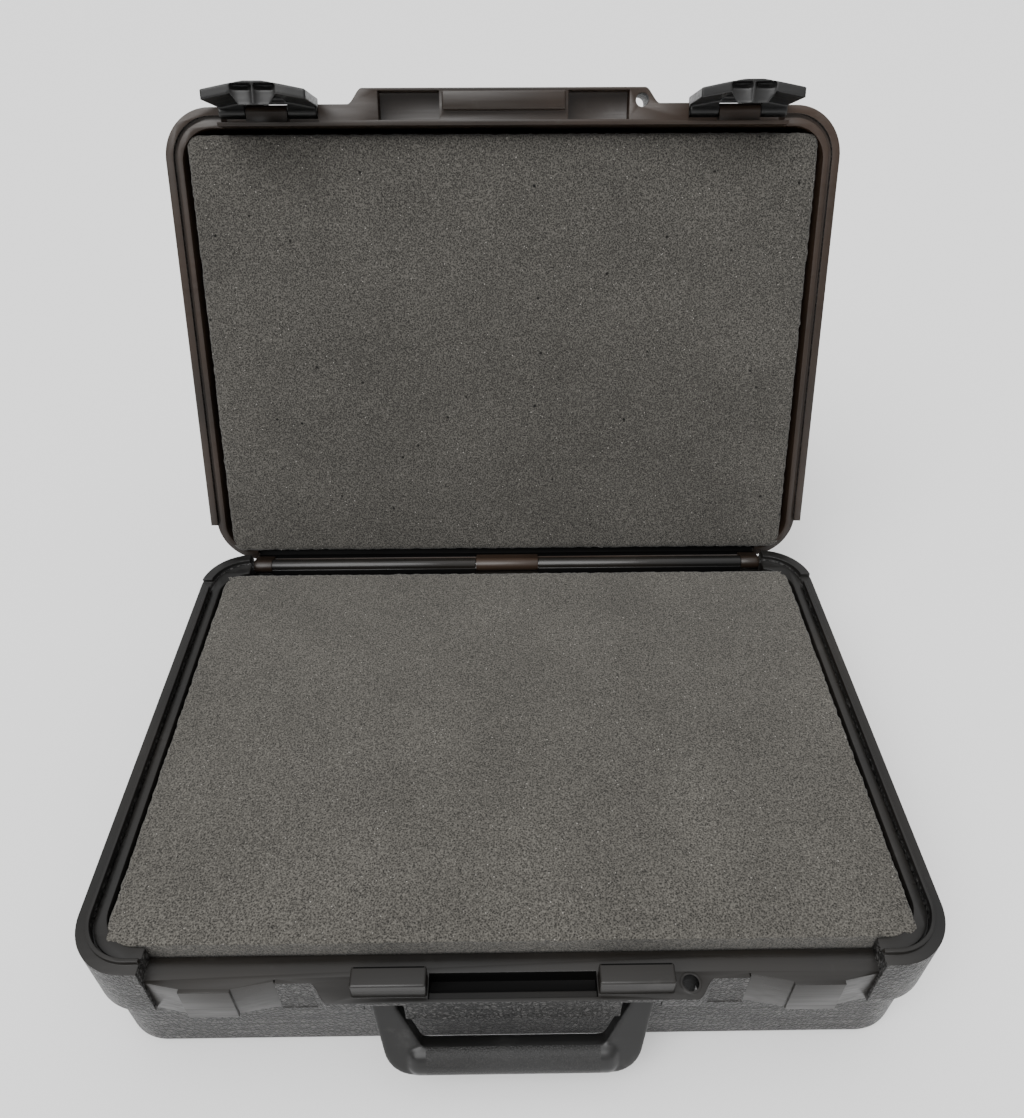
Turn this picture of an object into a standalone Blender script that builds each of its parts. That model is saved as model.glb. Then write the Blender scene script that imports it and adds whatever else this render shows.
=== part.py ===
"""Blow-moulded hard carrying case, standing open, with foam in both halves.

Frame: origin at the centre of the underside, +Z up, the handle side at -Y.
Every lid piece is made in its closed position, then swung open on the hinge.
Sizes are in millimetres and are turned into metres by MM.
"""

import math

import bmesh
import bpy
from mathutils import Matrix, Vector

MM = 0.001

# Overall case
WIDTH = 460.0
DEPTH = 326.6
BASE_HEIGHT = 92.0
LID_HEIGHT = 50.0
CORNER_RADIUS = 33.0
SEAM_GAP = 0.3
LID_OPEN_ANGLE = 110.26

HALF_WIDTH = WIDTH / 2
FRONT = -DEPTH / 2
BACK = DEPTH / 2
RIM = BASE_HEIGHT
LID_RIM = RIM + SEAM_GAP
LID_TOP = RIM + LID_HEIGHT

# Double wall
SKIN = 3.0
BASE_FLOOR = 14.0
LID_CEILING = LID_TOP - 12.0
BASE_WALL = 14.4
BASE_FRONT_WALL = 15.0
BASE_BACK_WALL = 16.8
LID_WALL = 11.3
LID_FRONT_WALL = 12.8
LID_BACK_WALL = 11.5
CAVITY_RADIUS = 22.0
BLOW_HOLE_RADIUS = 3.0

# Rim band and lower body of the base
BAND_HEIGHT = 40.5
BODY_INSET = 5.3
BODY_DRAFT = 0.5
BODY_ROUNDING = 6.0
CROWN_ROUNDING = 12.0
CROWN_DRAFT = 3.0

# Tongue on the base rim and the groove that takes it
TONGUE_OUTER = 5.5
TONGUE_INNER = 7.6
TONGUE_RISE = 2.8
TONGUE_END = 127.0
GROOVE_CLEARANCE = 0.3
GROOVE_DEPTH = 3.4
GROOVE_END = 130.0
INNER_WALL_DROP = 1.4
CHANNEL_INNER = 8.9
CHANNEL_DROP = 4.0

# Raised back corners of the base, and the lid corners cut to clear them
CORNER_RAISE = 3.0
CORNER_RAISE_WIDTH = 7.4
CORNER_RAISE_START = 134.5
CORNER_CUT_WIDTH = 8.0
CORNER_CUT_HEIGHT = 12.0
INNER_CORNER_CUT_HEIGHT = 5.0
INNER_CORNER_CUT_START = 146.0

# Front shelf and the centre bulge
SHELF_DROP = 12.0
BULGE_THICKNESS = 7.5
CENTRE_WALL_HALF_WIDTH = 56.5
CENTRE_WALL_REACH = 10.0
CENTRE_WALL_DROP = 31.0
SHELF_HALF_WIDTH = 190.0
SKIRT_HALF_WIDTH = 189.4
BULGE_HALF_WIDTH = 99.0
BULGE_SHOULDER = 10.0
BULGE_REACH = 10.3
TAB_REACH = 9.5
TAB_TOP = 14.0

# Locating blocks, tongue and slot at the centre of the front
BLOCK_INNER = 43.7
BLOCK_OUTER = 82.2
BLOCK_BACK = 3.5
BLOCK_FRONT = 7.2
RECESS_CLEARANCE = 0.6
RECESS_BACK = 9.5
SLOT_HALF_WIDTH = 43.2
SLOT_BACK = 4.8
SLOT_FRONT = 8.3
SLOT_DEPTH = 6.0
KEY_HALF_WIDTH = 40.5
KEY_BACK = 4.2
KEY_FRONT = 7.4
KEY_DEPTH = 5.0

# Padlock hole
LOCK_HOLE_X = 91.3
LOCK_HOLE_REACH = 1.9
LOCK_HOLE_RADIUS = 4.25

# Hinge
HINGE_Y = BACK - 2.0
HINGE_Z = RIM - 7.4
BARREL_RADIUS = 5.0
BARREL_INNER = 24.5
BARREL_OUTER = 182.8
KNUCKLE_HALF_WIDTH = 24.1
END_KNUCKLE_INNER = 183.2
END_KNUCKLE_OUTER = 197.0
HINGE_PIN_RADIUS = 2.0
PIN_GAP = 0.3
HINGE_PIN_INNER = 2.0
HINGE_PIN_OUTER = 196.5
TROUGH_REACH = 22.0
LID_BACK_STEP = 5.5
LID_BACK_STEP_HEIGHT = 9.0

# Latches
LATCH_X = 156.5
LATCH_HALF_WIDTH = 32.7
LATCH_TOP = 1.0
LATCH_BOTTOM = 44.0
LATCH_FLAT_HALF = 5.5
LATCH_CENTRE_REACH = 9.6
LATCH_TIP_REACH = 4.8
LATCH_GAP = 0.4
HOOK_TOP = 41.6
HOOK_BACK = 4.2
HOOK_HALF_WIDTH = 16.5
HOOK_TIP_HALF_WIDTH = 9.5
LATCH_PIN_Y = FRONT + 3.8
LATCH_PIN_Z = RIM - 4.0
LATCH_PIN_RADIUS = 1.6
LATCH_KNUCKLE_RADIUS = 4.2
LATCH_PIN_HALF_LENGTH = 31.5
LUG_INNER = 143.6
LUG_OUTER = 170.9
LATCH_POCKET_INNER = 122.4
LATCH_POCKET_OUTER = 189.7
LATCH_POCKET_TOP = 13.5
LATCH_POCKET_DEPTH = 10.5
SEAT_POCKET_DEPTH = 2.8

# Carry handle
HANDLE_PIVOT_Y = FRONT + 4.3
HANDLE_PIVOT_Z = RIM - 24.0
HANDLE_REST_ANGLE = 30.0
HANDLE_TOP_HALF_WIDTH = 74.3
HANDLE_BOTTOM_HALF_WIDTH = 68.5
HANDLE_ARM_WIDTH = 12.7
HANDLE_ARM_THICKNESS = 9.0
HANDLE_GRIP_CENTRE = 41.7
HANDLE_GRIP_HEIGHT = 18.6
HANDLE_GRIP_THICKNESS = 16.0
HANDLE_GRIP_HALF_WIDTH = 60.0
HANDLE_OPENING_HALF_WIDTH = 50.0
HANDLE_END_RADIUS = 6.0
HANDLE_POCKET_TOP = 14.6
HANDLE_POCKET_INNER = 55.5
HANDLE_POCKET_OUTER = 75.8
HANDLE_POCKET_DEPTH = 12.0
HANDLE_PIN_RADIUS = 2.5
HANDLE_PIN_INNER = 53.0
HANDLE_PIN_OUTER = 80.5

# Foam
BASE_FOAM_HALF_WIDTH = 212.5
BASE_FOAM_FRONT = -146.0
BASE_FOAM_BACK = 144.5
BASE_FOAM_DROP = 1.0
LID_FOAM_HALF_WIDTH = 215.0
LID_FOAM_FRONT = -146.5
LID_FOAM_BACK = 149.5
LID_FOAM_DROP = 0.5
FOAM_RADIUS = 14.0
FOAM_GAP = 0.3

ARC_SEGMENTS = 8
ROUND_SEGMENTS = 4
CIRCLE_SEGMENTS = 32


# ---------------------------------------------------------------- scene and materials

def clear_scene():
    for obj in list(bpy.data.objects):
        bpy.data.objects.remove(obj, do_unlink=True)


def new_collection(name, hidden=False):
    collection = bpy.data.collections.new(name)
    collection.hide_render = hidden
    bpy.context.scene.collection.children.link(collection)
    return collection


def principled(name, colour, roughness, metallic=0.0):
    material = bpy.data.materials.new(name)
    material.use_nodes = True
    material.diffuse_color = (*colour, 1.0)
    shader = material.node_tree.nodes["Principled BSDF"]
    shader.inputs["Base Color"].default_value = (*colour, 1.0)
    shader.inputs["Roughness"].default_value = roughness
    shader.inputs["Metallic"].default_value = metallic
    return material


def shell_plastic():
    return principled("black_shell_plastic", (0.022, 0.021, 0.020), 0.55)


def fitting_plastic():
    return principled("black_fitting_plastic", (0.026, 0.025, 0.024), 0.42)


def foam():
    return principled("charcoal_foam", (0.085, 0.088, 0.095), 0.95)


def steel():
    return principled("pin_steel", (0.45, 0.45, 0.46), 0.35, 1.0)


# ---------------------------------------------------------------- solids

def object_from(mesh_builder, name):
    """Makes an object from a bmesh, with its normals facing out."""
    bmesh.ops.recalc_face_normals(mesh_builder, faces=mesh_builder.faces)
    mesh = bpy.data.meshes.new(name)
    mesh_builder.to_mesh(mesh)
    mesh_builder.free()
    obj = bpy.data.objects.new(name, mesh)
    CUTTERS.objects.link(obj)
    obj.hide_render = True
    obj.display_type = "WIRE"
    return obj


def box(name, x_range, y_range, z_range):
    builder = bmesh.new()
    bmesh.ops.create_cube(builder, size=1.0)
    for vert in builder.verts:
        for axis, (low, high) in enumerate((x_range, y_range, z_range)):
            vert.co[axis] = (high if vert.co[axis] > 0 else low) * MM
    return object_from(builder, name)


def is_vertical(edge):
    first, second = edge.verts
    return abs(first.co.z - second.co.z) > 0.5 * (first.co - second.co).length


def slab(name, x_range, y_range, z_range, radius, draft=0.0, rounding=0.0, narrow_top=False):
    """A block with rounded upright corners; one end can be drafted in and rounded over."""
    builder = bmesh.new()
    bmesh.ops.create_cube(builder, size=1.0)
    for vert in builder.verts:
        for axis, (low, high) in enumerate((x_range, y_range, z_range)):
            vert.co[axis] = (high if vert.co[axis] > 0 else low) * MM
    bmesh.ops.bevel(
        builder,
        geom=[edge for edge in builder.edges if is_vertical(edge)],
        offset=radius * MM,
        segments=ARC_SEGMENTS,
        profile=0.5,
        affect="EDGES",
    )
    end = (z_range[1] if narrow_top else z_range[0]) * MM
    middle = Vector(((x_range[0] + x_range[1]) / 2 * MM, (y_range[0] + y_range[1]) / 2 * MM))
    half = ((x_range[1] - x_range[0]) / 2, (y_range[1] - y_range[0]) / 2)
    end_verts = [vert for vert in builder.verts if abs(vert.co.z - end) < 1e-6]
    for vert in end_verts:
        for axis in (0, 1):
            shrink = (half[axis] - draft) / half[axis]
            vert.co[axis] = middle[axis] + (vert.co[axis] - middle[axis]) * shrink
    if rounding:
        chosen = set(end_verts)
        bmesh.ops.bevel(
            builder,
            geom=[edge for edge in builder.edges if chosen.issuperset(edge.verts)],
            offset=rounding * MM,
            segments=ROUND_SEGMENTS,
            profile=0.5,
            affect="EDGES",
        )
    return object_from(builder, name)


def prism(name, outline, z_range):
    """An upright extrusion of a plan outline given as (x, y) points."""
    builder = bmesh.new()
    verts = [builder.verts.new((x * MM, y * MM, z_range[0] * MM)) for x, y in outline]
    face = builder.faces.new(verts)
    raised = bmesh.ops.extrude_face_region(builder, geom=[face])
    lift = Vector((0, 0, (z_range[1] - z_range[0]) * MM))
    moved = [item for item in raised["geom"] if isinstance(item, bmesh.types.BMVert)]
    bmesh.ops.translate(builder, verts=moved, vec=lift)
    return object_from(builder, name)


def rod(name, x_range, centre_y, centre_z, radius, segments=CIRCLE_SEGMENTS):
    """A cylinder lying along X."""
    builder = bmesh.new()
    length = (x_range[1] - x_range[0]) * MM
    turn = Matrix.Rotation(math.pi / 2, 4, "Y")
    place = Matrix.Translation(
        ((x_range[0] + x_range[1]) / 2 * MM, centre_y * MM, centre_z * MM)
    )
    bmesh.ops.create_cone(
        builder,
        cap_ends=True,
        segments=segments,
        radius1=radius * MM,
        radius2=radius * MM,
        depth=length,
        matrix=place @ turn,
    )
    return object_from(builder, name)


def post(name, centre_x, centre_y, z_range, radius):
    """A cylinder standing along Z."""
    builder = bmesh.new()
    place = Matrix.Translation(
        (centre_x * MM, centre_y * MM, (z_range[0] + z_range[1]) / 2 * MM)
    )
    bmesh.ops.create_cone(
        builder,
        cap_ends=True,
        segments=CIRCLE_SEGMENTS,
        radius1=radius * MM,
        radius2=radius * MM,
        depth=(z_range[1] - z_range[0]) * MM,
        matrix=place,
    )
    return object_from(builder, name)


def bake(obj):
    """Replaces the object's mesh with its evaluated one and drops the modifiers."""
    graph = bpy.context.evaluated_depsgraph_get()
    mesh = bpy.data.meshes.new_from_object(obj.evaluated_get(graph))
    old = obj.data
    obj.modifiers.clear()
    obj.data = mesh
    bpy.data.meshes.remove(old)
    return obj


def combine(obj, others, operation):
    for other in others:
        modifier = obj.modifiers.new(other.name, "BOOLEAN")
        modifier.solver = "EXACT"
        modifier.operation = operation
        modifier.object = other
    return bake(obj)


def cut(obj, *cutters):
    return combine(obj, cutters, "DIFFERENCE")


def join(obj, *others):
    return combine(obj, others, "UNION")


def both_sides(make, name, inner, outer, *args):
    """The same shape on the left and on the right of the middle plane."""
    return (
        make(name + "_left", (-outer, -inner), *args),
        make(name + "_right", (inner, outer), *args),
    )


def finish(obj, name, material, pivot=None, swing=0.0):
    """Names a piece, and puts its origin on its pivot line, turned about X by swing degrees."""
    obj.name = name
    obj.data.name = name
    obj.data.materials.clear()
    obj.data.materials.append(material)
    CUTTERS.objects.unlink(obj)
    CASE.objects.link(obj)
    obj.hide_render = False
    obj.display_type = "TEXTURED"
    if pivot is not None:
        origin = Vector(pivot) * MM
        obj.data.transform(Matrix.Translation(-origin))
        obj.location = origin
        obj.rotation_euler = (math.radians(swing), 0.0, 0.0)
    return obj


def swung(point):
    """Where a point of the closed lid lies once the lid is open."""
    hinge = Vector((0.0, HINGE_Y, HINGE_Z))
    turn = Matrix.Rotation(math.radians(-LID_OPEN_ANGLE), 3, "X")
    return turn @ (Vector(point) - hinge) + hinge


def smooth_round(obj, angle=35.0):
    """Smooth shading on curved faces, with edges sharper than the angle kept crisp."""
    obj.data.shade_smooth()
    limit = math.radians(angle)
    builder = bmesh.new()
    builder.from_mesh(obj.data)
    for edge in builder.edges:
        edge.smooth = len(edge.link_faces) == 2 and edge.calc_face_angle(0.0) < limit
    builder.to_mesh(obj.data)
    builder.free()
    return obj


# ---------------------------------------------------------------- shared plan shapes

def inset_slab(name, inset, z_range):
    """The case outline moved in by inset, as a straight-sided block."""
    return slab(
        name,
        (-HALF_WIDTH + inset, HALF_WIDTH - inset),
        (FRONT + inset, BACK - inset),
        z_range,
        CORNER_RADIUS - inset,
    )


def rim_ring(name, outer_inset, inner_inset, z_range, keep_clear):
    """A band that follows the case outline, less the boxes in keep_clear."""
    ring = inset_slab(name, outer_inset, z_range)
    core = inset_slab(name + "_core", inner_inset, (z_range[0] - 5, z_range[1] + 5))
    return cut(ring, core, *keep_clear)


def front_part_of_rim(name, end_y):
    """Boxes that leave only the sides and front corners of a rim ring."""
    tall = (RIM - 40, RIM + 40)
    middle = box(name + "_middle", (-SHELF_HALF_WIDTH, SHELF_HALF_WIDTH), (-400, 400), tall)
    behind = box(name + "_behind", (-400, 400), (end_y, 400), tall)
    return middle, behind


def back_corner_part_of_rim(name, start_y, inner_x):
    """Boxes that leave only the two back corners of a rim ring."""
    tall = (RIM - 40, RIM + 40)
    middle = box(name + "_middle", (-inner_x, inner_x), (-400, 400), tall)
    ahead = box(name + "_ahead", (-400, 400), (-400, start_y), tall)
    return middle, ahead


def bulge_outline(reach, half_width):
    """Plan of the centre bulge, with S-shaped shoulders."""
    start = half_width - BULGE_SHOULDER / 2
    steps = 8
    right = []
    for step in range(steps + 1):
        part = step / steps
        eased = part * part * (3 - 2 * part)
        right.append((start + BULGE_SHOULDER * part, FRONT - reach * (1 - eased)))
    right.append((start + BULGE_SHOULDER, FRONT + 6))
    left = [(-x, y) for x, y in reversed(right)]
    return left + right


def latch_inner_reach(offset):
    """How far the latch seat stands ahead of the front plane, by distance outboard of its middle."""
    if offset > 14.5:
        return 1.7 - (offset - 14.5) * 2.9 / 15.6
    if offset < -11.9:
        return 2.0 + (offset + 11.9) * 3.6 / 20.8
    return 3.9


def seat_outline(side):
    offsets = [32.9, 14.51, 14.5, -11.9, -11.91, -33.4]
    points = [(LATCH_X + offset, FRONT - latch_inner_reach(offset)) for offset in offsets]
    points += [(LATCH_X - 33.4, FRONT + 5), (LATCH_X + 32.9, FRONT + 5)]
    return [(side * x, y) for x, y in points]


def hollow_between(name, outer, inner):
    """The space between the two walls of a double-wall shell."""
    return cut(outer, inner)


# ---------------------------------------------------------------- base

def base_body():
    band = slab(
        "base_band",
        (-HALF_WIDTH, HALF_WIDTH),
        (FRONT, BACK),
        (RIM - BAND_HEIGHT, RIM),
        CORNER_RADIUS,
    )
    lower = slab(
        "base_lower",
        (-HALF_WIDTH + BODY_INSET, HALF_WIDTH - BODY_INSET),
        (FRONT + BODY_INSET, BACK - BODY_INSET),
        (0, RIM - BAND_HEIGHT + 8),
        CORNER_RADIUS - BODY_INSET,
        draft=BODY_DRAFT,
        rounding=BODY_ROUNDING,
    )
    return join(band, lower)


def add_front_features(shell):
    """Latch seats, centre bulge, wall behind the handle and locating blocks, round a level shelf."""
    pockets = both_sides(
        box,
        "seat_pocket",
        LATCH_POCKET_INNER,
        LATCH_POCKET_OUTER,
        (FRONT - 20, FRONT + SEAT_POCKET_DEPTH),
        (RIM - BAND_HEIGHT - 5, RIM + 5),
    )
    cut(shell, *pockets)
    seats = [
        prism(f"seat_{side}", seat_outline(side), (RIM - BAND_HEIGHT + 0.4, RIM - 4))
        for side in (-1, 1)
    ]
    bulge = prism(
        "bulge",
        bulge_outline(BULGE_REACH, BULGE_HALF_WIDTH),
        (RIM - SHELF_DROP - BULGE_THICKNESS, RIM - 4),
    )
    centre_wall = box(
        "centre_wall",
        (-CENTRE_WALL_HALF_WIDTH, CENTRE_WALL_HALF_WIDTH),
        (FRONT - CENTRE_WALL_REACH, FRONT + 2),
        (RIM - CENTRE_WALL_DROP, RIM - SHELF_DROP - 3),
    )
    join(shell, *seats, bulge, centre_wall)
    shelf = box(
        "shelf_cut",
        (-SHELF_HALF_WIDTH, SHELF_HALF_WIDTH),
        (FRONT - 30, FRONT + BASE_FRONT_WALL + 8),
        (RIM - SHELF_DROP, RIM + 30),
    )
    cut(shell, shelf)
    blocks = both_sides(
        box,
        "block",
        BLOCK_INNER,
        BLOCK_OUTER,
        (FRONT - BLOCK_FRONT, FRONT + BLOCK_BACK),
        (RIM - SHELF_DROP - 1.5, RIM - 0.4),
    )
    join(shell, *blocks)
    slot = box(
        "slot",
        (-SLOT_HALF_WIDTH, SLOT_HALF_WIDTH),
        (FRONT - SLOT_FRONT, FRONT + SLOT_BACK),
        (RIM - SHELF_DROP - SLOT_DEPTH, RIM + 5),
    )
    lock_hole = post(
        "base_lock_hole",
        LOCK_HOLE_X,
        FRONT - LOCK_HOLE_REACH,
        (RIM - BAND_HEIGHT - 10, RIM + 5),
        LOCK_HOLE_RADIUS,
    )
    return cut(shell, slot, lock_hole)


def cut_handle_seat(shell):
    """Pockets for the handle arms and the bores for its pins."""
    pockets = both_sides(
        box,
        "handle_pocket",
        HANDLE_POCKET_INNER,
        HANDLE_POCKET_OUTER,
        (FRONT - 30, FRONT + HANDLE_POCKET_DEPTH),
        (RIM - BAND_HEIGHT - 4, RIM - HANDLE_POCKET_TOP),
    )
    bores = both_sides(
        rod,
        "handle_bore",
        HANDLE_PIN_INNER - PIN_GAP,
        HANDLE_PIN_OUTER + PIN_GAP,
        HANDLE_PIVOT_Y,
        HANDLE_PIVOT_Z,
        HANDLE_PIN_RADIUS + PIN_GAP,
    )
    return cut(shell, *pockets, *bores)


def add_base_rim(shell):
    """The locating tongue, the channel behind it and the raised back corners."""
    sink = rim_ring(
        "inner_wall_sink",
        TONGUE_INNER,
        BASE_BACK_WALL + 4,
        (RIM - INNER_WALL_DROP, RIM + 10),
        (),
    )
    channel = rim_ring(
        "channel",
        TONGUE_INNER,
        CHANNEL_INNER,
        (RIM - CHANNEL_DROP, RIM + 10),
        front_part_of_rim("channel", TONGUE_END),
    )
    cut(shell, sink, channel)
    tongue = rim_ring(
        "tongue",
        TONGUE_OUTER,
        TONGUE_INNER,
        (RIM - 2, RIM + TONGUE_RISE),
        front_part_of_rim("tongue", TONGUE_END),
    )
    corners = rim_ring(
        "raised_corners",
        0.6,
        CORNER_RAISE_WIDTH,
        (RIM - 2, RIM + CORNER_RAISE),
        back_corner_part_of_rim("raised", CORNER_RAISE_START, END_KNUCKLE_OUTER + 1.2),
    )
    return join(shell, tongue, corners)


def add_base_hinge(shell):
    """Lowers the back rim, then adds the two long hinge barrels."""
    half = END_KNUCKLE_OUTER + 0.5
    troughs = [
        box("hinge_trough", (-half, half), (BACK - 11.5, BACK + 20), (HINGE_Z, RIM + 20)),
        box("front_trough", (-half, half), (BACK - TROUGH_REACH, HINGE_Y - BARREL_RADIUS - 0.4),
            (HINGE_Z - BARREL_RADIUS - 0.6, RIM + 20)),
    ]
    clearances = [
        box("knuckle_room", (-BARREL_INNER, BARREL_INNER), (HINGE_Y - 5.9, BACK + 20),
            (HINGE_Z - 5.8, RIM + 20)),
        *both_sides(box, "end_room", BARREL_OUTER, END_KNUCKLE_OUTER + 0.5,
                    (HINGE_Y - 5.9, BACK + 20), (HINGE_Z - 5.8, RIM + 20)),
    ]
    cut(shell, *troughs)
    barrels = both_sides(
        rod, "barrel", BARREL_INNER - 0.2, BARREL_OUTER + 0.2, HINGE_Y, HINGE_Z, BARREL_RADIUS
    )
    join(shell, *barrels)
    bore = rod(
        "base_hinge_bore", (-230, 230), HINGE_Y, HINGE_Z, HINGE_PIN_RADIUS + PIN_GAP
    )
    limit = box(
        "bore_limit",
        (-END_KNUCKLE_OUTER - 0.5, END_KNUCKLE_OUTER + 0.5),
        (0, 300),
        (0, 200),
    )
    bore = combine(bore, [limit], "INTERSECT")
    return cut(shell, *clearances, bore)


def make_base_shell(material):
    shell = base_body()
    add_front_features(shell)
    tray = slab(
        "base_tray",
        (-HALF_WIDTH + BASE_WALL, HALF_WIDTH - BASE_WALL),
        (FRONT + BASE_FRONT_WALL, BACK - BASE_BACK_WALL),
        (BASE_FLOOR, RIM + 30),
        CAVITY_RADIUS,
    )
    add_base_rim(shell)
    cut(shell, tray)
    cut_handle_seat(shell)
    add_base_hinge(shell)
    outer = BODY_INSET + SKIN
    hollow = hollow_between(
        "base_hollow",
        slab(
            "base_hollow_outer",
            (-HALF_WIDTH + outer, HALF_WIDTH - outer),
            (FRONT + outer, BACK - outer),
            (SKIN, RIM - BAND_HEIGHT - SKIN - 4),
            CORNER_RADIUS - outer,
            draft=BODY_DRAFT,
            rounding=BODY_ROUNDING - SKIN,
        ),
        slab(
            "base_hollow_inner",
            (-HALF_WIDTH + BASE_WALL - SKIN, HALF_WIDTH - BASE_WALL + SKIN),
            (FRONT + BASE_FRONT_WALL - SKIN, BACK - BASE_BACK_WALL + SKIN),
            (BASE_FLOOR - SKIN, RIM),
            CAVITY_RADIUS + SKIN,
        ),
    )
    blow_hole = post("base_blow_hole", 150, 100, (-5, SKIN + 2), BLOW_HOLE_RADIUS)
    cut(shell, hollow, blow_hole)
    return finish(smooth_round(shell), "base_shell", material)


def make_base_foam(material):
    block = slab(
        "foam",
        (-BASE_FOAM_HALF_WIDTH, BASE_FOAM_HALF_WIDTH),
        (BASE_FOAM_FRONT, BASE_FOAM_BACK),
        (BASE_FLOOR + FOAM_GAP, RIM - BASE_FOAM_DROP),
        FOAM_RADIUS,
    )
    return finish(smooth_round(block), "base_foam", material)


# ---------------------------------------------------------------- lid

def lid_body():
    crown = slab(
        "lid_crown",
        (-HALF_WIDTH, HALF_WIDTH),
        (FRONT, BACK),
        (LID_RIM, LID_TOP),
        CORNER_RADIUS,
        draft=CROWN_DRAFT,
        rounding=CROWN_ROUNDING,
        narrow_top=True,
    )
    skirt = box(
        "skirt",
        (-SKIRT_HALF_WIDTH, SKIRT_HALF_WIDTH),
        (FRONT + 0.05, FRONT + LID_FRONT_WALL + 4),
        (LID_RIM - SHELF_DROP, LID_RIM + 2),
    )
    tab = prism(
        "tab",
        bulge_outline(TAB_REACH, BULGE_HALF_WIDTH - 1),
        (LID_RIM - SHELF_DROP + 0.05, LID_RIM + TAB_TOP),
    )
    return join(crown, skirt, tab)


def cut_lid_front(shell):
    """Recesses over the base blocks, latch pockets, and the padlock hole."""
    recesses = both_sides(
        box,
        "recess",
        BLOCK_INNER - RECESS_CLEARANCE * 2,
        BLOCK_OUTER + RECESS_CLEARANCE,
        (FRONT - BLOCK_FRONT - 0.7, FRONT + RECESS_BACK),
        (LID_RIM - SHELF_DROP - 5, LID_RIM + 0.5),
    )
    pockets = both_sides(
        box,
        "latch_pocket",
        LATCH_POCKET_INNER,
        LATCH_POCKET_OUTER,
        (FRONT - 20, FRONT + LATCH_POCKET_DEPTH),
        (LID_RIM - SHELF_DROP - 5, LID_RIM + LATCH_POCKET_TOP),
    )
    lock_hole = post(
        "lid_lock_hole",
        LOCK_HOLE_X,
        FRONT - LOCK_HOLE_REACH,
        (LID_RIM - SHELF_DROP - 5, LID_RIM + TAB_TOP + 20),
        LOCK_HOLE_RADIUS,
    )
    return cut(shell, *recesses, *pockets, lock_hole)


def add_lid_front(shell):
    """The locating key, and the lugs that carry the latch pins."""
    key = box(
        "key",
        (-KEY_HALF_WIDTH, KEY_HALF_WIDTH),
        (FRONT - KEY_FRONT, FRONT + KEY_BACK),
        (LID_RIM - SHELF_DROP - KEY_DEPTH, LID_RIM - SHELF_DROP + 2),
    )
    webs = both_sides(
        box,
        "lug_web",
        LUG_INNER,
        LUG_OUTER,
        (LATCH_PIN_Y, FRONT + LATCH_POCKET_DEPTH + 1),
        (LATCH_PIN_Z - LATCH_KNUCKLE_RADIUS + 0.1, LATCH_PIN_Z + LATCH_KNUCKLE_RADIUS - 0.4),
    )
    lugs = both_sides(
        rod, "lug", LUG_INNER, LUG_OUTER, LATCH_PIN_Y, LATCH_PIN_Z, LATCH_KNUCKLE_RADIUS
    )
    join(shell, key, *webs, *lugs)
    bores = both_sides(
        rod,
        "lug_bore",
        LUG_INNER - 2,
        LUG_OUTER + 2,
        LATCH_PIN_Y,
        LATCH_PIN_Z,
        LATCH_PIN_RADIUS + PIN_GAP,
    )
    return cut(shell, *bores)


def cut_lid_rim(shell):
    """The groove for the base tongue, and the two relieved back corners."""
    groove = rim_ring(
        "groove",
        TONGUE_OUTER - GROOVE_CLEARANCE,
        TONGUE_INNER + GROOVE_CLEARANCE,
        (RIM - 5, RIM + GROOVE_DEPTH),
        front_part_of_rim("groove", GROOVE_END),
    )
    outer_relief = rim_ring(
        "corner_relief",
        -3.0,
        CORNER_CUT_WIDTH,
        (RIM - 5, RIM + CORNER_CUT_HEIGHT),
        back_corner_part_of_rim("relief", GROOVE_END, END_KNUCKLE_OUTER),
    )
    inner_relief = rim_ring(
        "inner_relief",
        CORNER_CUT_WIDTH - 1.0,
        LID_WALL + 12.0,
        (RIM - 5, RIM + INNER_CORNER_CUT_HEIGHT),
        back_corner_part_of_rim("inner", INNER_CORNER_CUT_START, END_KNUCKLE_OUTER),
    )
    back_step = box(
        "back_step",
        (-END_KNUCKLE_OUTER, END_KNUCKLE_OUTER),
        (BACK - LID_BACK_WALL - 6, BACK - LID_BACK_STEP),
        (RIM - 5, LID_RIM + LID_BACK_STEP_HEIGHT),
    )
    return cut(shell, groove, outer_relief, inner_relief, back_step)


def add_lid_hinge(shell):
    """Centre and end knuckles on webs down from the back rim."""
    spans = (
        (-KNUCKLE_HALF_WIDTH, KNUCKLE_HALF_WIDTH),
        (-END_KNUCKLE_OUTER, -END_KNUCKLE_INNER),
        (END_KNUCKLE_INNER, END_KNUCKLE_OUTER),
    )
    pieces = []
    for number, span in enumerate(spans):
        web_y = (HINGE_Y - BARREL_RADIUS + 0.4, BACK - 0.1)
        pieces.append(box(f"web_{number}", span, web_y, (HINGE_Z, LID_RIM + 2)))
        pieces.append(rod(f"knuckle_{number}", span, HINGE_Y, HINGE_Z, BARREL_RADIUS - 0.1))
    join(shell, *pieces)
    bore = rod(
        "lid_hinge_bore", (-230, 230), HINGE_Y, HINGE_Z, HINGE_PIN_RADIUS + PIN_GAP
    )
    return cut(shell, bore)


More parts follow.
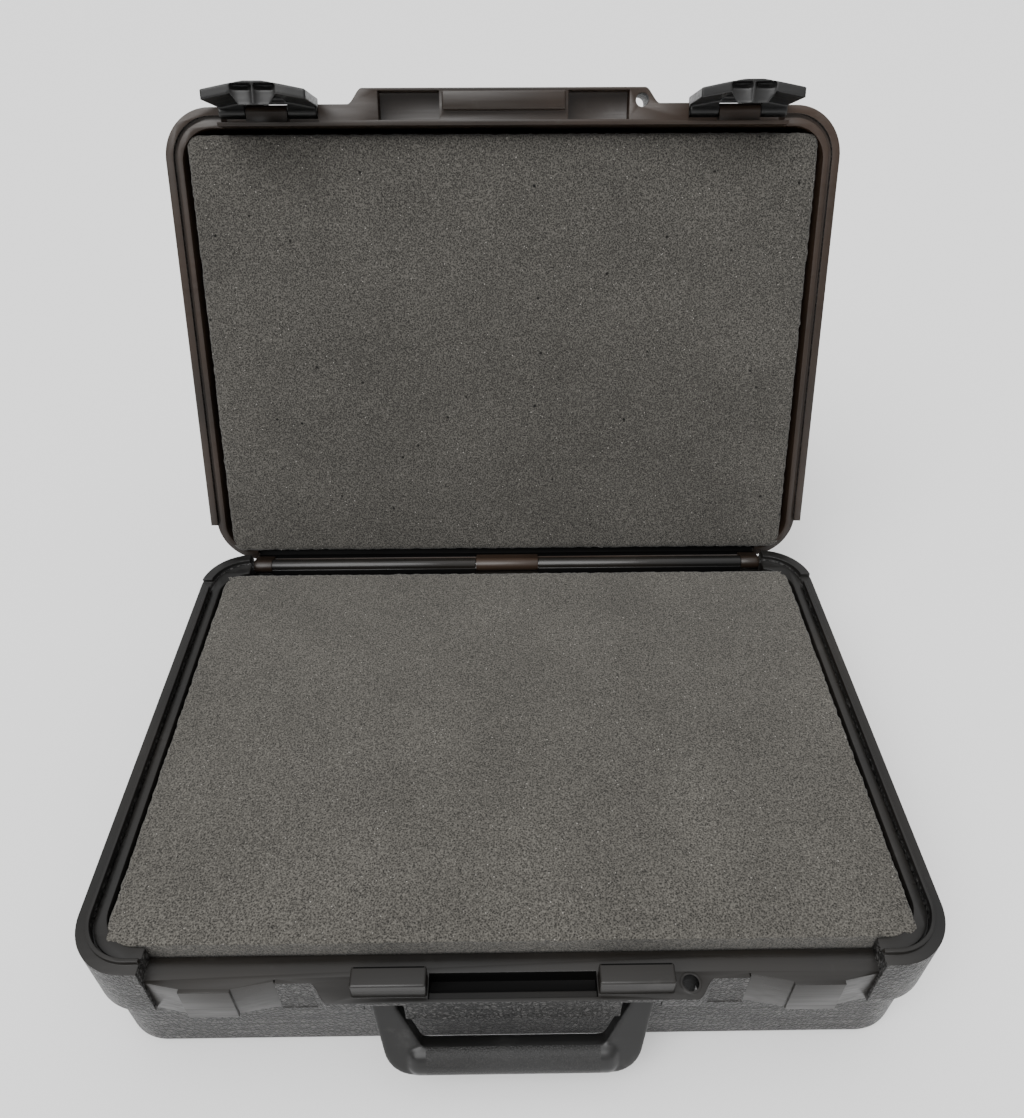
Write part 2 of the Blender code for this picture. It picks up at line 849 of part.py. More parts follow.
def make_lid_shell(material):
    shell = lid_body()
    cavity = slab(
        "lid_cavity",
        (-HALF_WIDTH + LID_WALL, HALF_WIDTH - LID_WALL),
        (FRONT + LID_FRONT_WALL, BACK - LID_BACK_WALL),
        (RIM - 40, LID_CEILING),
        CAVITY_RADIUS,
    )
    cut(shell, cavity)
    cut_lid_front(shell)
    add_lid_front(shell)
    cut_lid_rim(shell)
    add_lid_hinge(shell)
    outer = SKIN + 0.5
    hollow = hollow_between(
        "lid_hollow",
        slab(
            "lid_hollow_outer",
            (-HALF_WIDTH + outer, HALF_WIDTH - outer),
            (FRONT + outer, BACK - outer),
            (LID_RIM + 17, LID_TOP - SKIN),
            CORNER_RADIUS - outer,
            draft=CROWN_DRAFT,
            rounding=CROWN_ROUNDING - SKIN,
            narrow_top=True,
        ),
        slab(
            "lid_hollow_inner",
            (-HALF_WIDTH + LID_WALL - SKIN, HALF_WIDTH - LID_WALL + SKIN),
            (FRONT + LID_FRONT_WALL - SKIN, BACK - LID_BACK_WALL + SKIN),
            (RIM, LID_CEILING + SKIN),
            CAVITY_RADIUS + SKIN,
        ),
    )
    blow_hole = post("lid_blow_hole", 150, 100, (LID_TOP - SKIN - 2, LID_TOP + 5), BLOW_HOLE_RADIUS)
    cut(shell, hollow, blow_hole)
    hinge = (0.0, HINGE_Y, HINGE_Z)
    return finish(smooth_round(shell), "lid_shell", material, hinge, -LID_OPEN_ANGLE)


def make_lid_foam(material):
    block = slab(
        "foam",
        (-LID_FOAM_HALF_WIDTH, LID_FOAM_HALF_WIDTH),
        (LID_FOAM_FRONT, LID_FOAM_BACK),
        (RIM - LID_FOAM_DROP, LID_CEILING - FOAM_GAP),
        FOAM_RADIUS,
    )
    hinge = (0.0, HINGE_Y, HINGE_Z)
    return finish(smooth_round(block), "lid_foam", material, hinge, -LID_OPEN_ANGLE)


# ---------------------------------------------------------------- latches

def latch_outline(side):
    """Plan of a latch: bowed outside, nested to the faceted seat inside."""
    half = LATCH_HALF_WIDTH
    outside = [
        (-half, LATCH_TIP_REACH),
        (-half / 2, LATCH_TIP_REACH + 0.56 * (LATCH_CENTRE_REACH - LATCH_TIP_REACH)),
        (-LATCH_FLAT_HALF, LATCH_CENTRE_REACH),
        (LATCH_FLAT_HALF, LATCH_CENTRE_REACH),
        (half / 2, LATCH_TIP_REACH + 0.56 * (LATCH_CENTRE_REACH - LATCH_TIP_REACH)),
        (half, LATCH_TIP_REACH),
    ]
    outer_step = 14.5 + LATCH_GAP
    inner_step = -11.9 - LATCH_GAP
    inside = [(half, latch_inner_reach(half)), (outer_step + 0.01, latch_inner_reach(outer_step))]
    inside += [(outer_step, latch_inner_reach(0)), (inner_step, latch_inner_reach(0))]
    inside += [(inner_step - 0.01, latch_inner_reach(inner_step)), (-half, latch_inner_reach(-half))]
    inside = [(offset, reach + LATCH_GAP) for offset, reach in inside]
    return [(side * (LATCH_X + x), FRONT - reach) for x, reach in outside + inside]


def latch_hook(name, side):
    """The lip that catches under the base flange."""
    centre = LATCH_X
    outline = [
        (side * (centre - HOOK_HALF_WIDTH), FRONT - 5.5),
        (side * (centre + HOOK_HALF_WIDTH), FRONT - 5.5),
        (side * (centre + HOOK_TIP_HALF_WIDTH), FRONT + HOOK_BACK),
        (side * (centre - HOOK_TIP_HALF_WIDTH), FRONT + HOOK_BACK),
    ]
    return prism(name, outline, (RIM - LATCH_BOTTOM + 0.05, RIM - HOOK_TOP))


def make_latch(name, side, material):
    body = prism(name, latch_outline(side), (RIM - LATCH_BOTTOM, RIM - LATCH_TOP))
    spans = (
        (LATCH_X - LATCH_HALF_WIDTH + 0.3, LUG_INNER - 0.4),
        (LUG_OUTER + 0.4, LATCH_X + LATCH_HALF_WIDTH - 0.3),
    )
    pieces = [latch_hook(name + "_hook", side)]
    for number, (inner, outer) in enumerate(spans):
        span = (inner, outer) if side > 0 else (-outer, -inner)
        pieces.append(
            rod(f"{name}_knuckle_{number}", span, LATCH_PIN_Y, LATCH_PIN_Z, LATCH_KNUCKLE_RADIUS)
        )
        pieces.append(
            box(
                f"{name}_arm_{number}",
                span,
                (FRONT - 3, LATCH_PIN_Y),
                (LATCH_PIN_Z - LATCH_KNUCKLE_RADIUS + 0.3, LATCH_PIN_Z + 2.6),
            )
        )
    join(body, *pieces)
    bore = rod(
        name + "_bore",
        (side * LATCH_X - 40, side * LATCH_X + 40),
        LATCH_PIN_Y,
        LATCH_PIN_Z,
        LATCH_PIN_RADIUS + PIN_GAP,
    )
    cut(body, bore)
    pivot = (side * LATCH_X, LATCH_PIN_Y, LATCH_PIN_Z)
    return swing_with_lid(finish(smooth_round(body), name, material, pivot), pivot)


def swing_with_lid(obj, pivot):
    """Carries a piece whose origin is at pivot round to the open lid."""
    obj.location = swung(pivot) * MM
    obj.rotation_euler = (math.radians(-LID_OPEN_ANGLE), 0.0, 0.0)
    return obj


def make_latch_pin(name, side, material):
    pivot = (side * LATCH_X, LATCH_PIN_Y, LATCH_PIN_Z)
    span = (pivot[0] - LATCH_PIN_HALF_LENGTH, pivot[0] + LATCH_PIN_HALF_LENGTH)
    pin = rod(name, span, LATCH_PIN_Y, LATCH_PIN_Z, LATCH_PIN_RADIUS)
    return swing_with_lid(finish(smooth_round(pin), name, material, pivot), pivot)


# ---------------------------------------------------------------- handle and hinge pins

def handle_outline():
    """The handle seen square on: x across, y down the arms from the pivot line."""
    top_y = -HANDLE_END_RADIUS
    bottom_y = HANDLE_GRIP_CENTRE + HANDLE_GRIP_HEIGHT / 2 - 1.5
    inner_y = HANDLE_GRIP_CENTRE - HANDLE_GRIP_HEIGHT / 2 + 1.5
    inner_top = HANDLE_TOP_HALF_WIDTH - HANDLE_ARM_WIDTH
    right = [
        (HANDLE_OPENING_HALF_WIDTH - 8, inner_y),
        (HANDLE_OPENING_HALF_WIDTH, inner_y - 4),
        (inner_top, 9),
        (inner_top, top_y),
        (HANDLE_TOP_HALF_WIDTH, top_y),
        (HANDLE_TOP_HALF_WIDTH, 8),
        (HANDLE_BOTTOM_HALF_WIDTH, bottom_y - 16),
        (HANDLE_BOTTOM_HALF_WIDTH - 4, bottom_y - 7),
        (HANDLE_BOTTOM_HALF_WIDTH - 10, bottom_y - 2),
        (HANDLE_BOTTOM_HALF_WIDTH - 18, bottom_y),
    ]
    return right + [(-x, y) for x, y in reversed(right)]


def make_handle(material):
    builder = bmesh.new()
    half = HANDLE_ARM_THICKNESS / 2
    verts = [builder.verts.new((x * MM, half * MM, -y * MM)) for x, y in handle_outline()]
    face = builder.faces.new(verts)
    moved = bmesh.ops.extrude_face_region(builder, geom=[face])["geom"]
    moved = [item for item in moved if isinstance(item, bmesh.types.BMVert)]
    bmesh.ops.translate(builder, verts=moved, vec=Vector((0, -HANDLE_ARM_THICKNESS * MM, 0)))
    frame = object_from(builder, "handle_frame")
    bevel = frame.modifiers.new("edges", "BEVEL")
    bevel.width = 1.6 * MM
    bevel.segments = 2
    bevel.angle_limit = math.radians(50)
    bake(frame)
    grip = box(
        "grip",
        (-HANDLE_GRIP_HALF_WIDTH, HANDLE_GRIP_HALF_WIDTH),
        (-HANDLE_GRIP_THICKNESS / 2, HANDLE_GRIP_THICKNESS / 2),
        (
            -HANDLE_GRIP_CENTRE - HANDLE_GRIP_HEIGHT / 2,
            -HANDLE_GRIP_CENTRE + HANDLE_GRIP_HEIGHT / 2,
        ),
    )
    rounding = grip.modifiers.new("rounding", "BEVEL")
    rounding.width = 7.2 * MM
    rounding.segments = 5
    bake(grip)
    join(frame, grip)
    bores = both_sides(
        rod,
        "arm_bore",
        HANDLE_TOP_HALF_WIDTH - HANDLE_ARM_WIDTH - 4,
        HANDLE_TOP_HALF_WIDTH + 4,
        0,
        0,
        HANDLE_PIN_RADIUS + PIN_GAP,
    )
    cut(frame, *bores)
    handle = finish(smooth_round(frame), "carry_handle", material)
    handle.location = Vector((0, HANDLE_PIVOT_Y, HANDLE_PIVOT_Z)) * MM
    handle.rotation_euler = (math.radians(-HANDLE_REST_ANGLE), 0.0, 0.0)
    return handle


def make_side_pin(name, side, inner, outer, centre_y, centre_z, radius, material):
    span = (inner, outer) if side > 0 else (-outer, -inner)
    pin = rod(name, span, centre_y, centre_z, radius)
    pivot = ((span[0] + span[1]) / 2, centre_y, centre_z)
    return finish(smooth_round(pin), name, material, pivot)


clear_scene()
CASE = new_collection("hard_carrying_case")
CUTTERS = new_collection("cutters", hidden=True)

shell_material = shell_plastic()
fitting_material = fitting_plastic()
foam_material = foam()
steel_material = steel()

make_base_shell(shell_material)
make_base_foam(foam_material)
make_lid_shell(shell_material)
make_lid_foam(foam_material)
make_handle(fitting_material)
for word, sign in (("left", -1), ("right", 1)):
    make_latch("latch_" + word, sign, fitting_material)
    make_latch_pin("latch_pin_" + word, sign, steel_material)
    make_side_pin(
        "hinge_pin_" + word, sign, HINGE_PIN_INNER, HINGE_PIN_OUTER,
        HINGE_Y, HINGE_Z, HINGE_PIN_RADIUS, steel_material,
    )
    make_side_pin(
        "handle_pin_" + word, sign, HANDLE_PIN_INNER, HANDLE_PIN_OUTER,
        HANDLE_PIVOT_Y, HANDLE_PIVOT_Z, HANDLE_PIN_RADIUS, steel_material,
    )
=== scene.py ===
"""Hard carrying case, standing open: the visual model built over its CAD frame.

Sizes are in millimetres and are turned into metres by MM. The origin is the
centre of the underside, +Z up, the handle side at -Y. Every lid piece is made
in its closed position and then swung open about the hinge line.
"""

import logging
import math
from dataclasses import dataclass
from enum import Enum
from typing import Callable, Iterable, Sequence

import bmesh
import bpy
import numpy as np
from mathutils import Matrix, Vector, noise


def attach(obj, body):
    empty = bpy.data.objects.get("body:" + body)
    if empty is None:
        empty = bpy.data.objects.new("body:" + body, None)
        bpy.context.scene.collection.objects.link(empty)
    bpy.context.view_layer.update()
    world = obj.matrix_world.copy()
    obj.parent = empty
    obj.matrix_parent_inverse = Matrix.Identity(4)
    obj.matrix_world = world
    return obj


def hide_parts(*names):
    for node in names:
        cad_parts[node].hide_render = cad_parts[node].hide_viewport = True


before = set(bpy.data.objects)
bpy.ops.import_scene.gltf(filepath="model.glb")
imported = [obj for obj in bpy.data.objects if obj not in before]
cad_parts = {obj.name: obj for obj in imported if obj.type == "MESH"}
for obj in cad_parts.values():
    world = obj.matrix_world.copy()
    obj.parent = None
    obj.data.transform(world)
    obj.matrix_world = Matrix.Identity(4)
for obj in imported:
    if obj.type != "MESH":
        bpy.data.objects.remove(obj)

LOG = logging.getLogger("carrying_case")
MM = 0.001
Span = tuple[float, float]
Colour = tuple[float, float, float]
Solid = bpy.types.Object
Finish = bpy.types.Material
Builder = bmesh.types.BMesh


class Body(Enum):
    """The moving bodies of the frame that the pieces ride on."""

    BASE = "base"
    LID = "lid"
    LATCH_LEFT = "latch_left"
    LATCH_RIGHT = "latch_right"
    HANDLE = "handle"


class Side(Enum):
    """Left and right of the middle plane, as the sign of X."""

    LEFT = -1
    RIGHT = 1


@dataclass(frozen=True)
class CaseSize:
    """Sizes shared by both halves of the case, in millimetres."""

    width: float = 460.0
    depth: float = 326.6
    base_height: float = 92.0
    lid_height: float = 50.0
    corner_radius: float = 33.0
    seam_gap: float = 0.3
    lid_open_angle: float = 110.26
    band_height: float = 40.5
    shelf_drop: float = 12.0
    shelf_half_width: float = 190.0
    cavity_radius: float = 22.0
    hinge_inset: float = 2.0
    hinge_drop: float = 7.4
    hinge_bore_radius: float = 2.3
    latch_x: float = 156.5
    latch_pocket: Span = (122.4, 189.7)
    latch_lug: Span = (143.6, 170.9)
    latch_pin_inset: float = 3.8
    latch_pin_drop: float = 4.0
    latch_bore_radius: float = 1.9
    latch_knuckle_radius: float = 4.2
    lock_hole_x: float = 91.3
    lock_hole_reach: float = 1.9
    lock_hole_radius: float = 4.25
    handle_pivot_inset: float = 4.3
    handle_pivot_drop: float = 24.0
    handle_bore_radius: float = 2.8

    @property
    def half_width(self) -> float:
        """Half the overall width."""
        return self.width / 2

    @property
    def front(self) -> float:
        """Y of the nominal front face."""
        return -self.depth / 2

    @property
    def back(self) -> float:
        """Y of the back face."""
        return self.depth / 2

    @property
    def rim(self) -> float:
        """Z of the plane where the halves meet."""
        return self.base_height

    @property
    def lid_rim(self) -> float:
        """Z of the lid's rim when closed."""
        return self.base_height + self.seam_gap

    @property
    def lid_top(self) -> float:
        """Z of the lid's outer face when closed."""
        return self.base_height + self.lid_height

    @property
    def hinge_y(self) -> float:
        """Y of the hinge line."""
        return self.back - self.hinge_inset

    @property
    def hinge_z(self) -> float:
        """Z of the hinge line."""
        return self.rim - self.hinge_drop

    @property
    def latch_pin_y(self) -> float:
        """Y of the latch pins, with the lid closed."""
        return self.front + self.latch_pin_inset

    @property
    def latch_pin_z(self) -> float:
        """Z of the latch pins, with the lid closed."""
        return self.rim - self.latch_pin_drop

    def lid_swing(self) -> Matrix:
        """The turn about the hinge line that opens the closed lid."""
        hinge = Vector((0.0, self.hinge_y, self.hinge_z)) * MM
        turn = Matrix.Rotation(math.radians(-self.lid_open_angle), 4, "X")
        return Matrix.Translation(hinge) @ turn @ Matrix.Translation(-hinge)


SIZE = CaseSize()

# Plan of a latch seat: its middle flat, then where each side facet starts, how far it falls back
# and over what run.
SEAT_FLAT: Span = (-11.9, 14.5)
SEAT_FLAT_REACH = 3.9
SEAT_OUTER_FACET = (1.7, 2.9, 15.6)
SEAT_INNER_FACET = (2.0, 3.6, 20.8)
SEAT_ENDS: Span = (-33.4, 32.9)
SEAT_STEP = 0.01

# How far a cutter reaches past what it opens, and the reach of boxes that clear whole regions.
PAST = 5
WELL_PAST = 20
FAR = 400
TALL = 40

# Edge softening of the two shells, and the merging distance for stray doubles.
SHELL_EDGE = 0.45
DOUBLES = 2e-6

# Facets in an upright corner, in a rounded-over end and round a cylinder.
CORNER_FACETS = 18
EDGE_FACETS = 7
ROUND_FACETS = 40

# Spacing of the nodes in the editor.
NODE_COLUMN = 240
NODE_ROW = 340


# ---------------------------------------------------------------- solids

class Workbench:
    """Makes and combines the plain solids that the pieces are cut from."""

    def __init__(self) -> None:
        """Makes the hidden collection that holds the working solids."""
        self.shelf = bpy.data.collections.new("working_solids")
        self.shelf.hide_render = True
        bpy.context.scene.collection.children.link(self.shelf)

    def from_bmesh(self, builder: Builder, name: str) -> Solid:
        """Turns a bmesh into an object whose faces point out.

        Args:
            builder: the mesh, which is freed.
            name: the new object's name.

        Returns:
            The object, on the hidden shelf.
        """
        bmesh.ops.recalc_face_normals(builder, faces=builder.faces)
        mesh = bpy.data.meshes.new(name)
        builder.to_mesh(mesh)
        builder.free()
        obj = bpy.data.objects.new(name, mesh)
        self.shelf.objects.link(obj)
        obj.hide_render = True
        return obj

    def _block(self, x: Span, y: Span, z: Span) -> Builder:
        """A cuboid between the given limits."""
        builder = bmesh.new()
        bmesh.ops.create_cube(builder, size=1.0)
        for vert in builder.verts:
            for axis, (low, high) in enumerate((x, y, z)):
                vert.co[axis] = (high if vert.co[axis] > 0 else low) * MM
        return builder

    def box(self, name: str, x: Span, y: Span, z: Span, rounding: float = 0.0,
            segments: int = 3) -> Solid:
        """A cuboid, with its edges rounded over where a rounding is given."""
        builder = self._block(x, y, z)
        if rounding:
            bmesh.ops.bevel(
                builder,
                geom=list(builder.edges),
                offset=rounding * MM,
                segments=segments,
                profile=0.5,
                affect="EDGES",
            )
        return self.from_bmesh(builder, name)

    def slab(self, name: str, x: Span, y: Span, z: Span, radius: float, draft: float = 0.0,
             rounding: float = 0.0, narrow_top: bool = False) -> Solid:
        """A block with rounded upright corners; one end can be drafted in and rounded over.

        Args:
            name: object name.
            x: limits along X.
            y: limits along Y.
            z: limits along Z.
            radius: plan radius of the upright corners.
            draft: how far the narrow end is drawn in all round.
            rounding: radius of the narrow end's edge.
            narrow_top: whether the top, not the bottom, is the narrow end.

        Returns:
            The solid.
        """
        builder = self._block(x, y, z)
        upright = [
            edge for edge in builder.edges
            if abs(edge.verts[0].co.z - edge.verts[1].co.z) > 0.5 * edge.calc_length()
        ]
        bmesh.ops.bevel(
            builder, geom=upright, offset=radius * MM, segments=CORNER_FACETS,
            profile=0.5, affect="EDGES",
        )
        end = (z[1] if narrow_top else z[0]) * MM
        middle = ((x[0] + x[1]) / 2 * MM, (y[0] + y[1]) / 2 * MM)
        half = ((x[1] - x[0]) / 2, (y[1] - y[0]) / 2)
        end_verts = [vert for vert in builder.verts if abs(vert.co.z - end) < 1e-6]
        for vert in end_verts:
            for axis in (0, 1):
                shrink = (half[axis] - draft) / half[axis]
                vert.co[axis] = middle[axis] + (vert.co[axis] - middle[axis]) * shrink
        if rounding:
            chosen = set(end_verts)
            rim = [edge for edge in builder.edges if chosen.issuperset(edge.verts)]
            bmesh.ops.bevel(
                builder, geom=rim, offset=rounding * MM, segments=EDGE_FACETS, profile=0.5,
                affect="EDGES",
            )
        return self.from_bmesh(builder, name)

    def prism(self, name: str, outline: Sequence[Span], z: Span) -> Solid:
        """An upright extrusion of a plan outline given as (x, y) points."""
        builder = bmesh.new()
        verts = [builder.verts.new((px * MM, py * MM, z[0] * MM)) for px, py in outline]
        face = builder.faces.new(verts)
        raised = bmesh.ops.extrude_face_region(builder, geom=[face])["geom"]
        moved = [item for item in raised if isinstance(item, bmesh.types.BMVert)]
        bmesh.ops.translate(builder, verts=moved, vec=Vector((0, 0, (z[1] - z[0]) * MM)))
        return self.from_bmesh(builder, name)

    def _turned(self, name: str, place: Matrix, radius: float, length: float) -> Solid:
        """A cylinder set in place by a matrix."""
        builder = bmesh.new()
        bmesh.ops.create_cone(
            builder,
            cap_ends=True,
            segments=ROUND_FACETS,
            radius1=radius * MM,
            radius2=radius * MM,
            depth=length * MM,
            matrix=place,
        )
        return self.from_bmesh(builder, name)

    def rod(self, name: str, x: Span, y: float, z: float, radius: float) -> Solid:
        """A cylinder lying along X."""
        place = Matrix.Translation(((x[0] + x[1]) / 2 * MM, y * MM, z * MM))
        place = place @ Matrix.Rotation(math.pi / 2, 4, "Y")
        return self._turned(name, place, radius, x[1] - x[0])

    def post(self, name: str, x: float, y: float, z: Span, radius: float) -> Solid:
        """A cylinder standing along Z."""
        place = Matrix.Translation((x * MM, y * MM, (z[0] + z[1]) / 2 * MM))
        return self._turned(name, place, radius, z[1] - z[0])

    def mirrored(self, make: Callable[..., Solid], name: str, inner: float,
                 outer: float, *rest: object, **named: object) -> list[Solid]:
        """The same shape on the left and on the right of the middle plane."""
        return [
            make(name + "_left", (-outer, -inner), *rest, **named),
            make(name + "_right", (inner, outer), *rest, **named),
        ]

    def bake(self, obj: Solid) -> Solid:
        """Replaces the object's mesh with its evaluated one and drops the modifiers."""
        graph = bpy.context.evaluated_depsgraph_get()
        mesh = bpy.data.meshes.new_from_object(obj.evaluated_get(graph))
        old = obj.data
        obj.modifiers.clear()
        obj.data = mesh
        bpy.data.meshes.remove(old)
        return obj

    def combine(self, obj: Solid, others: Iterable[Solid],
                operation: str) -> Solid:
        """Runs exact Booleans with each of the others, then discards them.

        Args:
            obj: the solid that is changed.
            others: the tools.
            operation: DIFFERENCE, UNION or INTERSECT.

        Returns:
            The changed solid.
        """
        others = list(others)
        for other in others:
            modifier = obj.modifiers.new(other.name, "BOOLEAN")
            modifier.solver = "EXACT"
            modifier.operation = operation
            modifier.object = other
        self.bake(obj)
        for other in others:
            mesh = other.data
            bpy.data.objects.remove(other, do_unlink=True)
            bpy.data.meshes.remove(mesh)
        return obj

    def cut(self, obj: Solid, *tools: Solid) -> Solid:
        """The solid less the tools."""
        return self.combine(obj, tools, "DIFFERENCE")

    def join(self, obj: Solid, *tools: Solid) -> Solid:
        """The solid and the tools as one."""
        return self.combine(obj, tools, "UNION")

    def soften(self, obj: Solid, width: float, segments: int = 2,
               angle: float = 32.0) -> Solid:
        """Rounds over every edge sharper than the angle."""
        bevel = obj.modifiers.new("soft_edges", "BEVEL")
        bevel.width = width * MM
        bevel.segments = segments
        bevel.angle_limit = math.radians(angle)
        bevel.miter_outer = "MITER_ARC"
        return self.bake(obj)

    def melt(self, obj: Solid, voxel: float, rounds: int) -> Solid:
        """Remeshes to an even skin and smooths it, which fillets every corner.

        Args:
            obj: the solid.
            voxel: size of the remesh in millimetres.
            rounds: passes of smoothing.

        Returns:
            The filleted solid.
        """
        remesh = obj.modifiers.new("even_skin", "REMESH")
        remesh.mode = "VOXEL"
        remesh.voxel_size = voxel * MM
        smooth = obj.modifiers.new("fillets", "SMOOTH")
        smooth.factor = 0.5
        smooth.iterations = rounds
        return self.bake(obj)

    def tidy(self, obj: Solid) -> Solid:
        """Merges stray doubles and dissolves the slivers that Booleans leave."""
        builder = bmesh.new()
        builder.from_mesh(obj.data)
        bmesh.ops.remove_doubles(builder, verts=builder.verts, dist=DOUBLES)
        bmesh.ops.dissolve_degenerate(builder, dist=DOUBLES, edges=builder.edges)
        bmesh.ops.recalc_face_normals(builder, faces=builder.faces)
        builder.to_mesh(obj.data)
        builder.free()
        return obj


BENCH = Workbench()


# ---------------------------------------------------------------- plan shapes

def inset_slab(name: str, inset: float, z: Span) -> Solid:
    """The case outline moved in by inset, as a straight-sided block."""
    return BENCH.slab(
        name,
        (-SIZE.half_width + inset, SIZE.half_width - inset),
        (SIZE.front + inset, SIZE.back - inset),
        z,
        SIZE.corner_radius - inset,
    )


def rim_ring(name: str, outer: float, inner: float, z: Span,
             clear: Iterable[Solid] = ()) -> Solid:
    """A band that follows the case outline between two insets, less some boxes."""
    ring = inset_slab(name, outer, z)
    core = inset_slab(name + "_core", inner, (z[0] - PAST, z[1] + PAST))
    return BENCH.cut(ring, core, *clear)


def keep_only(name: str, half_x: float, y: Span) -> list[Solid]:
    """Boxes that clear a rim ring's middle, and its stretch between two depths."""
    tall = (SIZE.rim - TALL, SIZE.rim + TALL)
    return [
        BENCH.box(name + "_middle", (-half_x, half_x), (-FAR, FAR), tall),
        BENCH.box(name + "_stretch", (-FAR, FAR), y, tall),
    ]


def keep_front(name: str, end_y: float) -> list[Solid]:
    """Boxes that leave only the sides and front corners of a rim ring."""
    return keep_only(name, SIZE.shelf_half_width, (end_y, FAR))


def keep_back_corners(name: str, start_y: float, inner_x: float) -> list[Solid]:
    """Boxes that leave only the back corners of a rim ring."""
    return keep_only(name, inner_x, (-FAR, start_y))


def bulge_outline(reach: float, half_width: float, shoulder: float = 10.0,
                  steps: int = 14) -> list[Span]:
    """Plan of the centre bulge, with S-shaped shoulders."""
    start = half_width - shoulder / 2
    right: list[Span] = []
    for step in range(steps + 1):
        part = step / steps
        eased = part * part * (3 - 2 * part)
        right.append((start + shoulder * part, SIZE.front - reach * (1 - eased)))
    right.append((start + shoulder, SIZE.front + 6))
    return [(-x, y) for x, y in reversed(right)] + right


def seat_reach(offset: float) -> float:
    """How far a latch seat stands ahead of the front plane, by distance outboard of its middle."""
    inner_end, outer_start = SEAT_FLAT
    if offset > outer_start:
        start, fall, run = SEAT_OUTER_FACET
        return start - (offset - outer_start) * fall / run
    if offset < inner_end:
        start, fall, run = SEAT_INNER_FACET
        return start + (offset - inner_end) * fall / run
    return SEAT_FLAT_REACH


def case_cavity(name: str, wall: float, front_wall: float, back_wall: float, z: Span) -> Solid:
    """The rounded space inside the walls of one half."""
    return BENCH.slab(
        name,
        (-SIZE.half_width + wall, SIZE.half_width - wall),
        (SIZE.front + front_wall, SIZE.back - back_wall),
        z,
        SIZE.cavity_radius,
    )


def between(values: np.ndarray, low: float, high: float) -> np.ndarray:
    """Where the values lie between two limits."""
    return (values > low) & (values < high)


def inset_from_outline(x: np.ndarray, y: np.ndarray) -> np.ndarray:
    """How far each spot lies inside the rounded outline of the case.

    Args:
        x: distances from the middle plane.
        y: distances along the depth.

    Returns:
        The distances, below zero for spots outside it.
    """
    across = np.abs(x) - (SIZE.half_width - SIZE.corner_radius)
    along = np.abs(y) - (SIZE.back - SIZE.corner_radius)
    straight = SIZE.corner_radius - np.maximum(across, along)
    rounded = SIZE.corner_radius - np.hypot(across, along)
    return np.where((across > 0) & (along > 0), rounded, straight)


def set_out(*rows: tuple[bpy.types.Node | None, Sequence[bpy.types.Node]]) -> None:
    """Lays nodes out in rows, each row in its own frame where one is given."""
    for row, (group, members) in enumerate(rows):
        for column, node in enumerate(members):
            node.parent = group
            node.location = (NODE_COLUMN * column, -NODE_ROW * row)


def as_piece(obj: Solid, name: str, body: Body, nodes: Sequence[str],
             turn: Matrix | None = None, angle: float = 38.0) -> Solid:
    """Shows a finished solid, shades it, ties it to its body and hides the CAD nodes it stands for.

    Args:
        obj: the solid, in closed-case coordinates.
        name: piece name.
        body: the body it rides on.
        nodes: the CAD nodes it stands for.
        turn: where the piece is put, if it isn't made in place.
        angle: edges sharper than this, in degrees, stay crisp.

    Returns:
        The finished piece.
    """
    if turn is not None:
        obj.data.transform(turn)
    obj.name = name
    obj.data.name = name
    obj.data.shade_smooth()
    obj.data.set_sharp_from_angle(angle=math.radians(angle))
    BENCH.shelf.objects.unlink(obj)
    bpy.context.scene.collection.objects.link(obj)
    obj.hide_render = False
    bpy.context.view_layer.update()
    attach(obj, body.value)
    if nodes:
        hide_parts(*nodes)
    LOG.info("%s: %d faces on body %s", name, len(obj.data.polygons), body.value)
    return obj


def paint(obj: Solid, finishes: Sequence[Finish],
          choose: Callable[[np.ndarray, np.ndarray], np.ndarray] | None = None) -> None:
    """Gives the piece its materials, and picks one for each face.

    Args:
        obj: the piece.
        finishes: its materials in slot order.
        choose: from face centres and normals, in millimetres, to slot numbers.
    """
    obj.data.materials.clear()
    for finish in finishes:
        obj.data.materials.append(finish)
    if choose is None:
        return
    centres, normals = np.empty((2, len(obj.data.polygons), 3), np.float32)
    obj.data.polygons.foreach_get("center", centres.ravel())
    obj.data.polygons.foreach_get("normal", normals.ravel())
    picked = choose(centres / MM, normals)
    obj.data.polygons.foreach_set("material_index", picked.astype(np.int32))


# ---------------------------------------------------------------- base

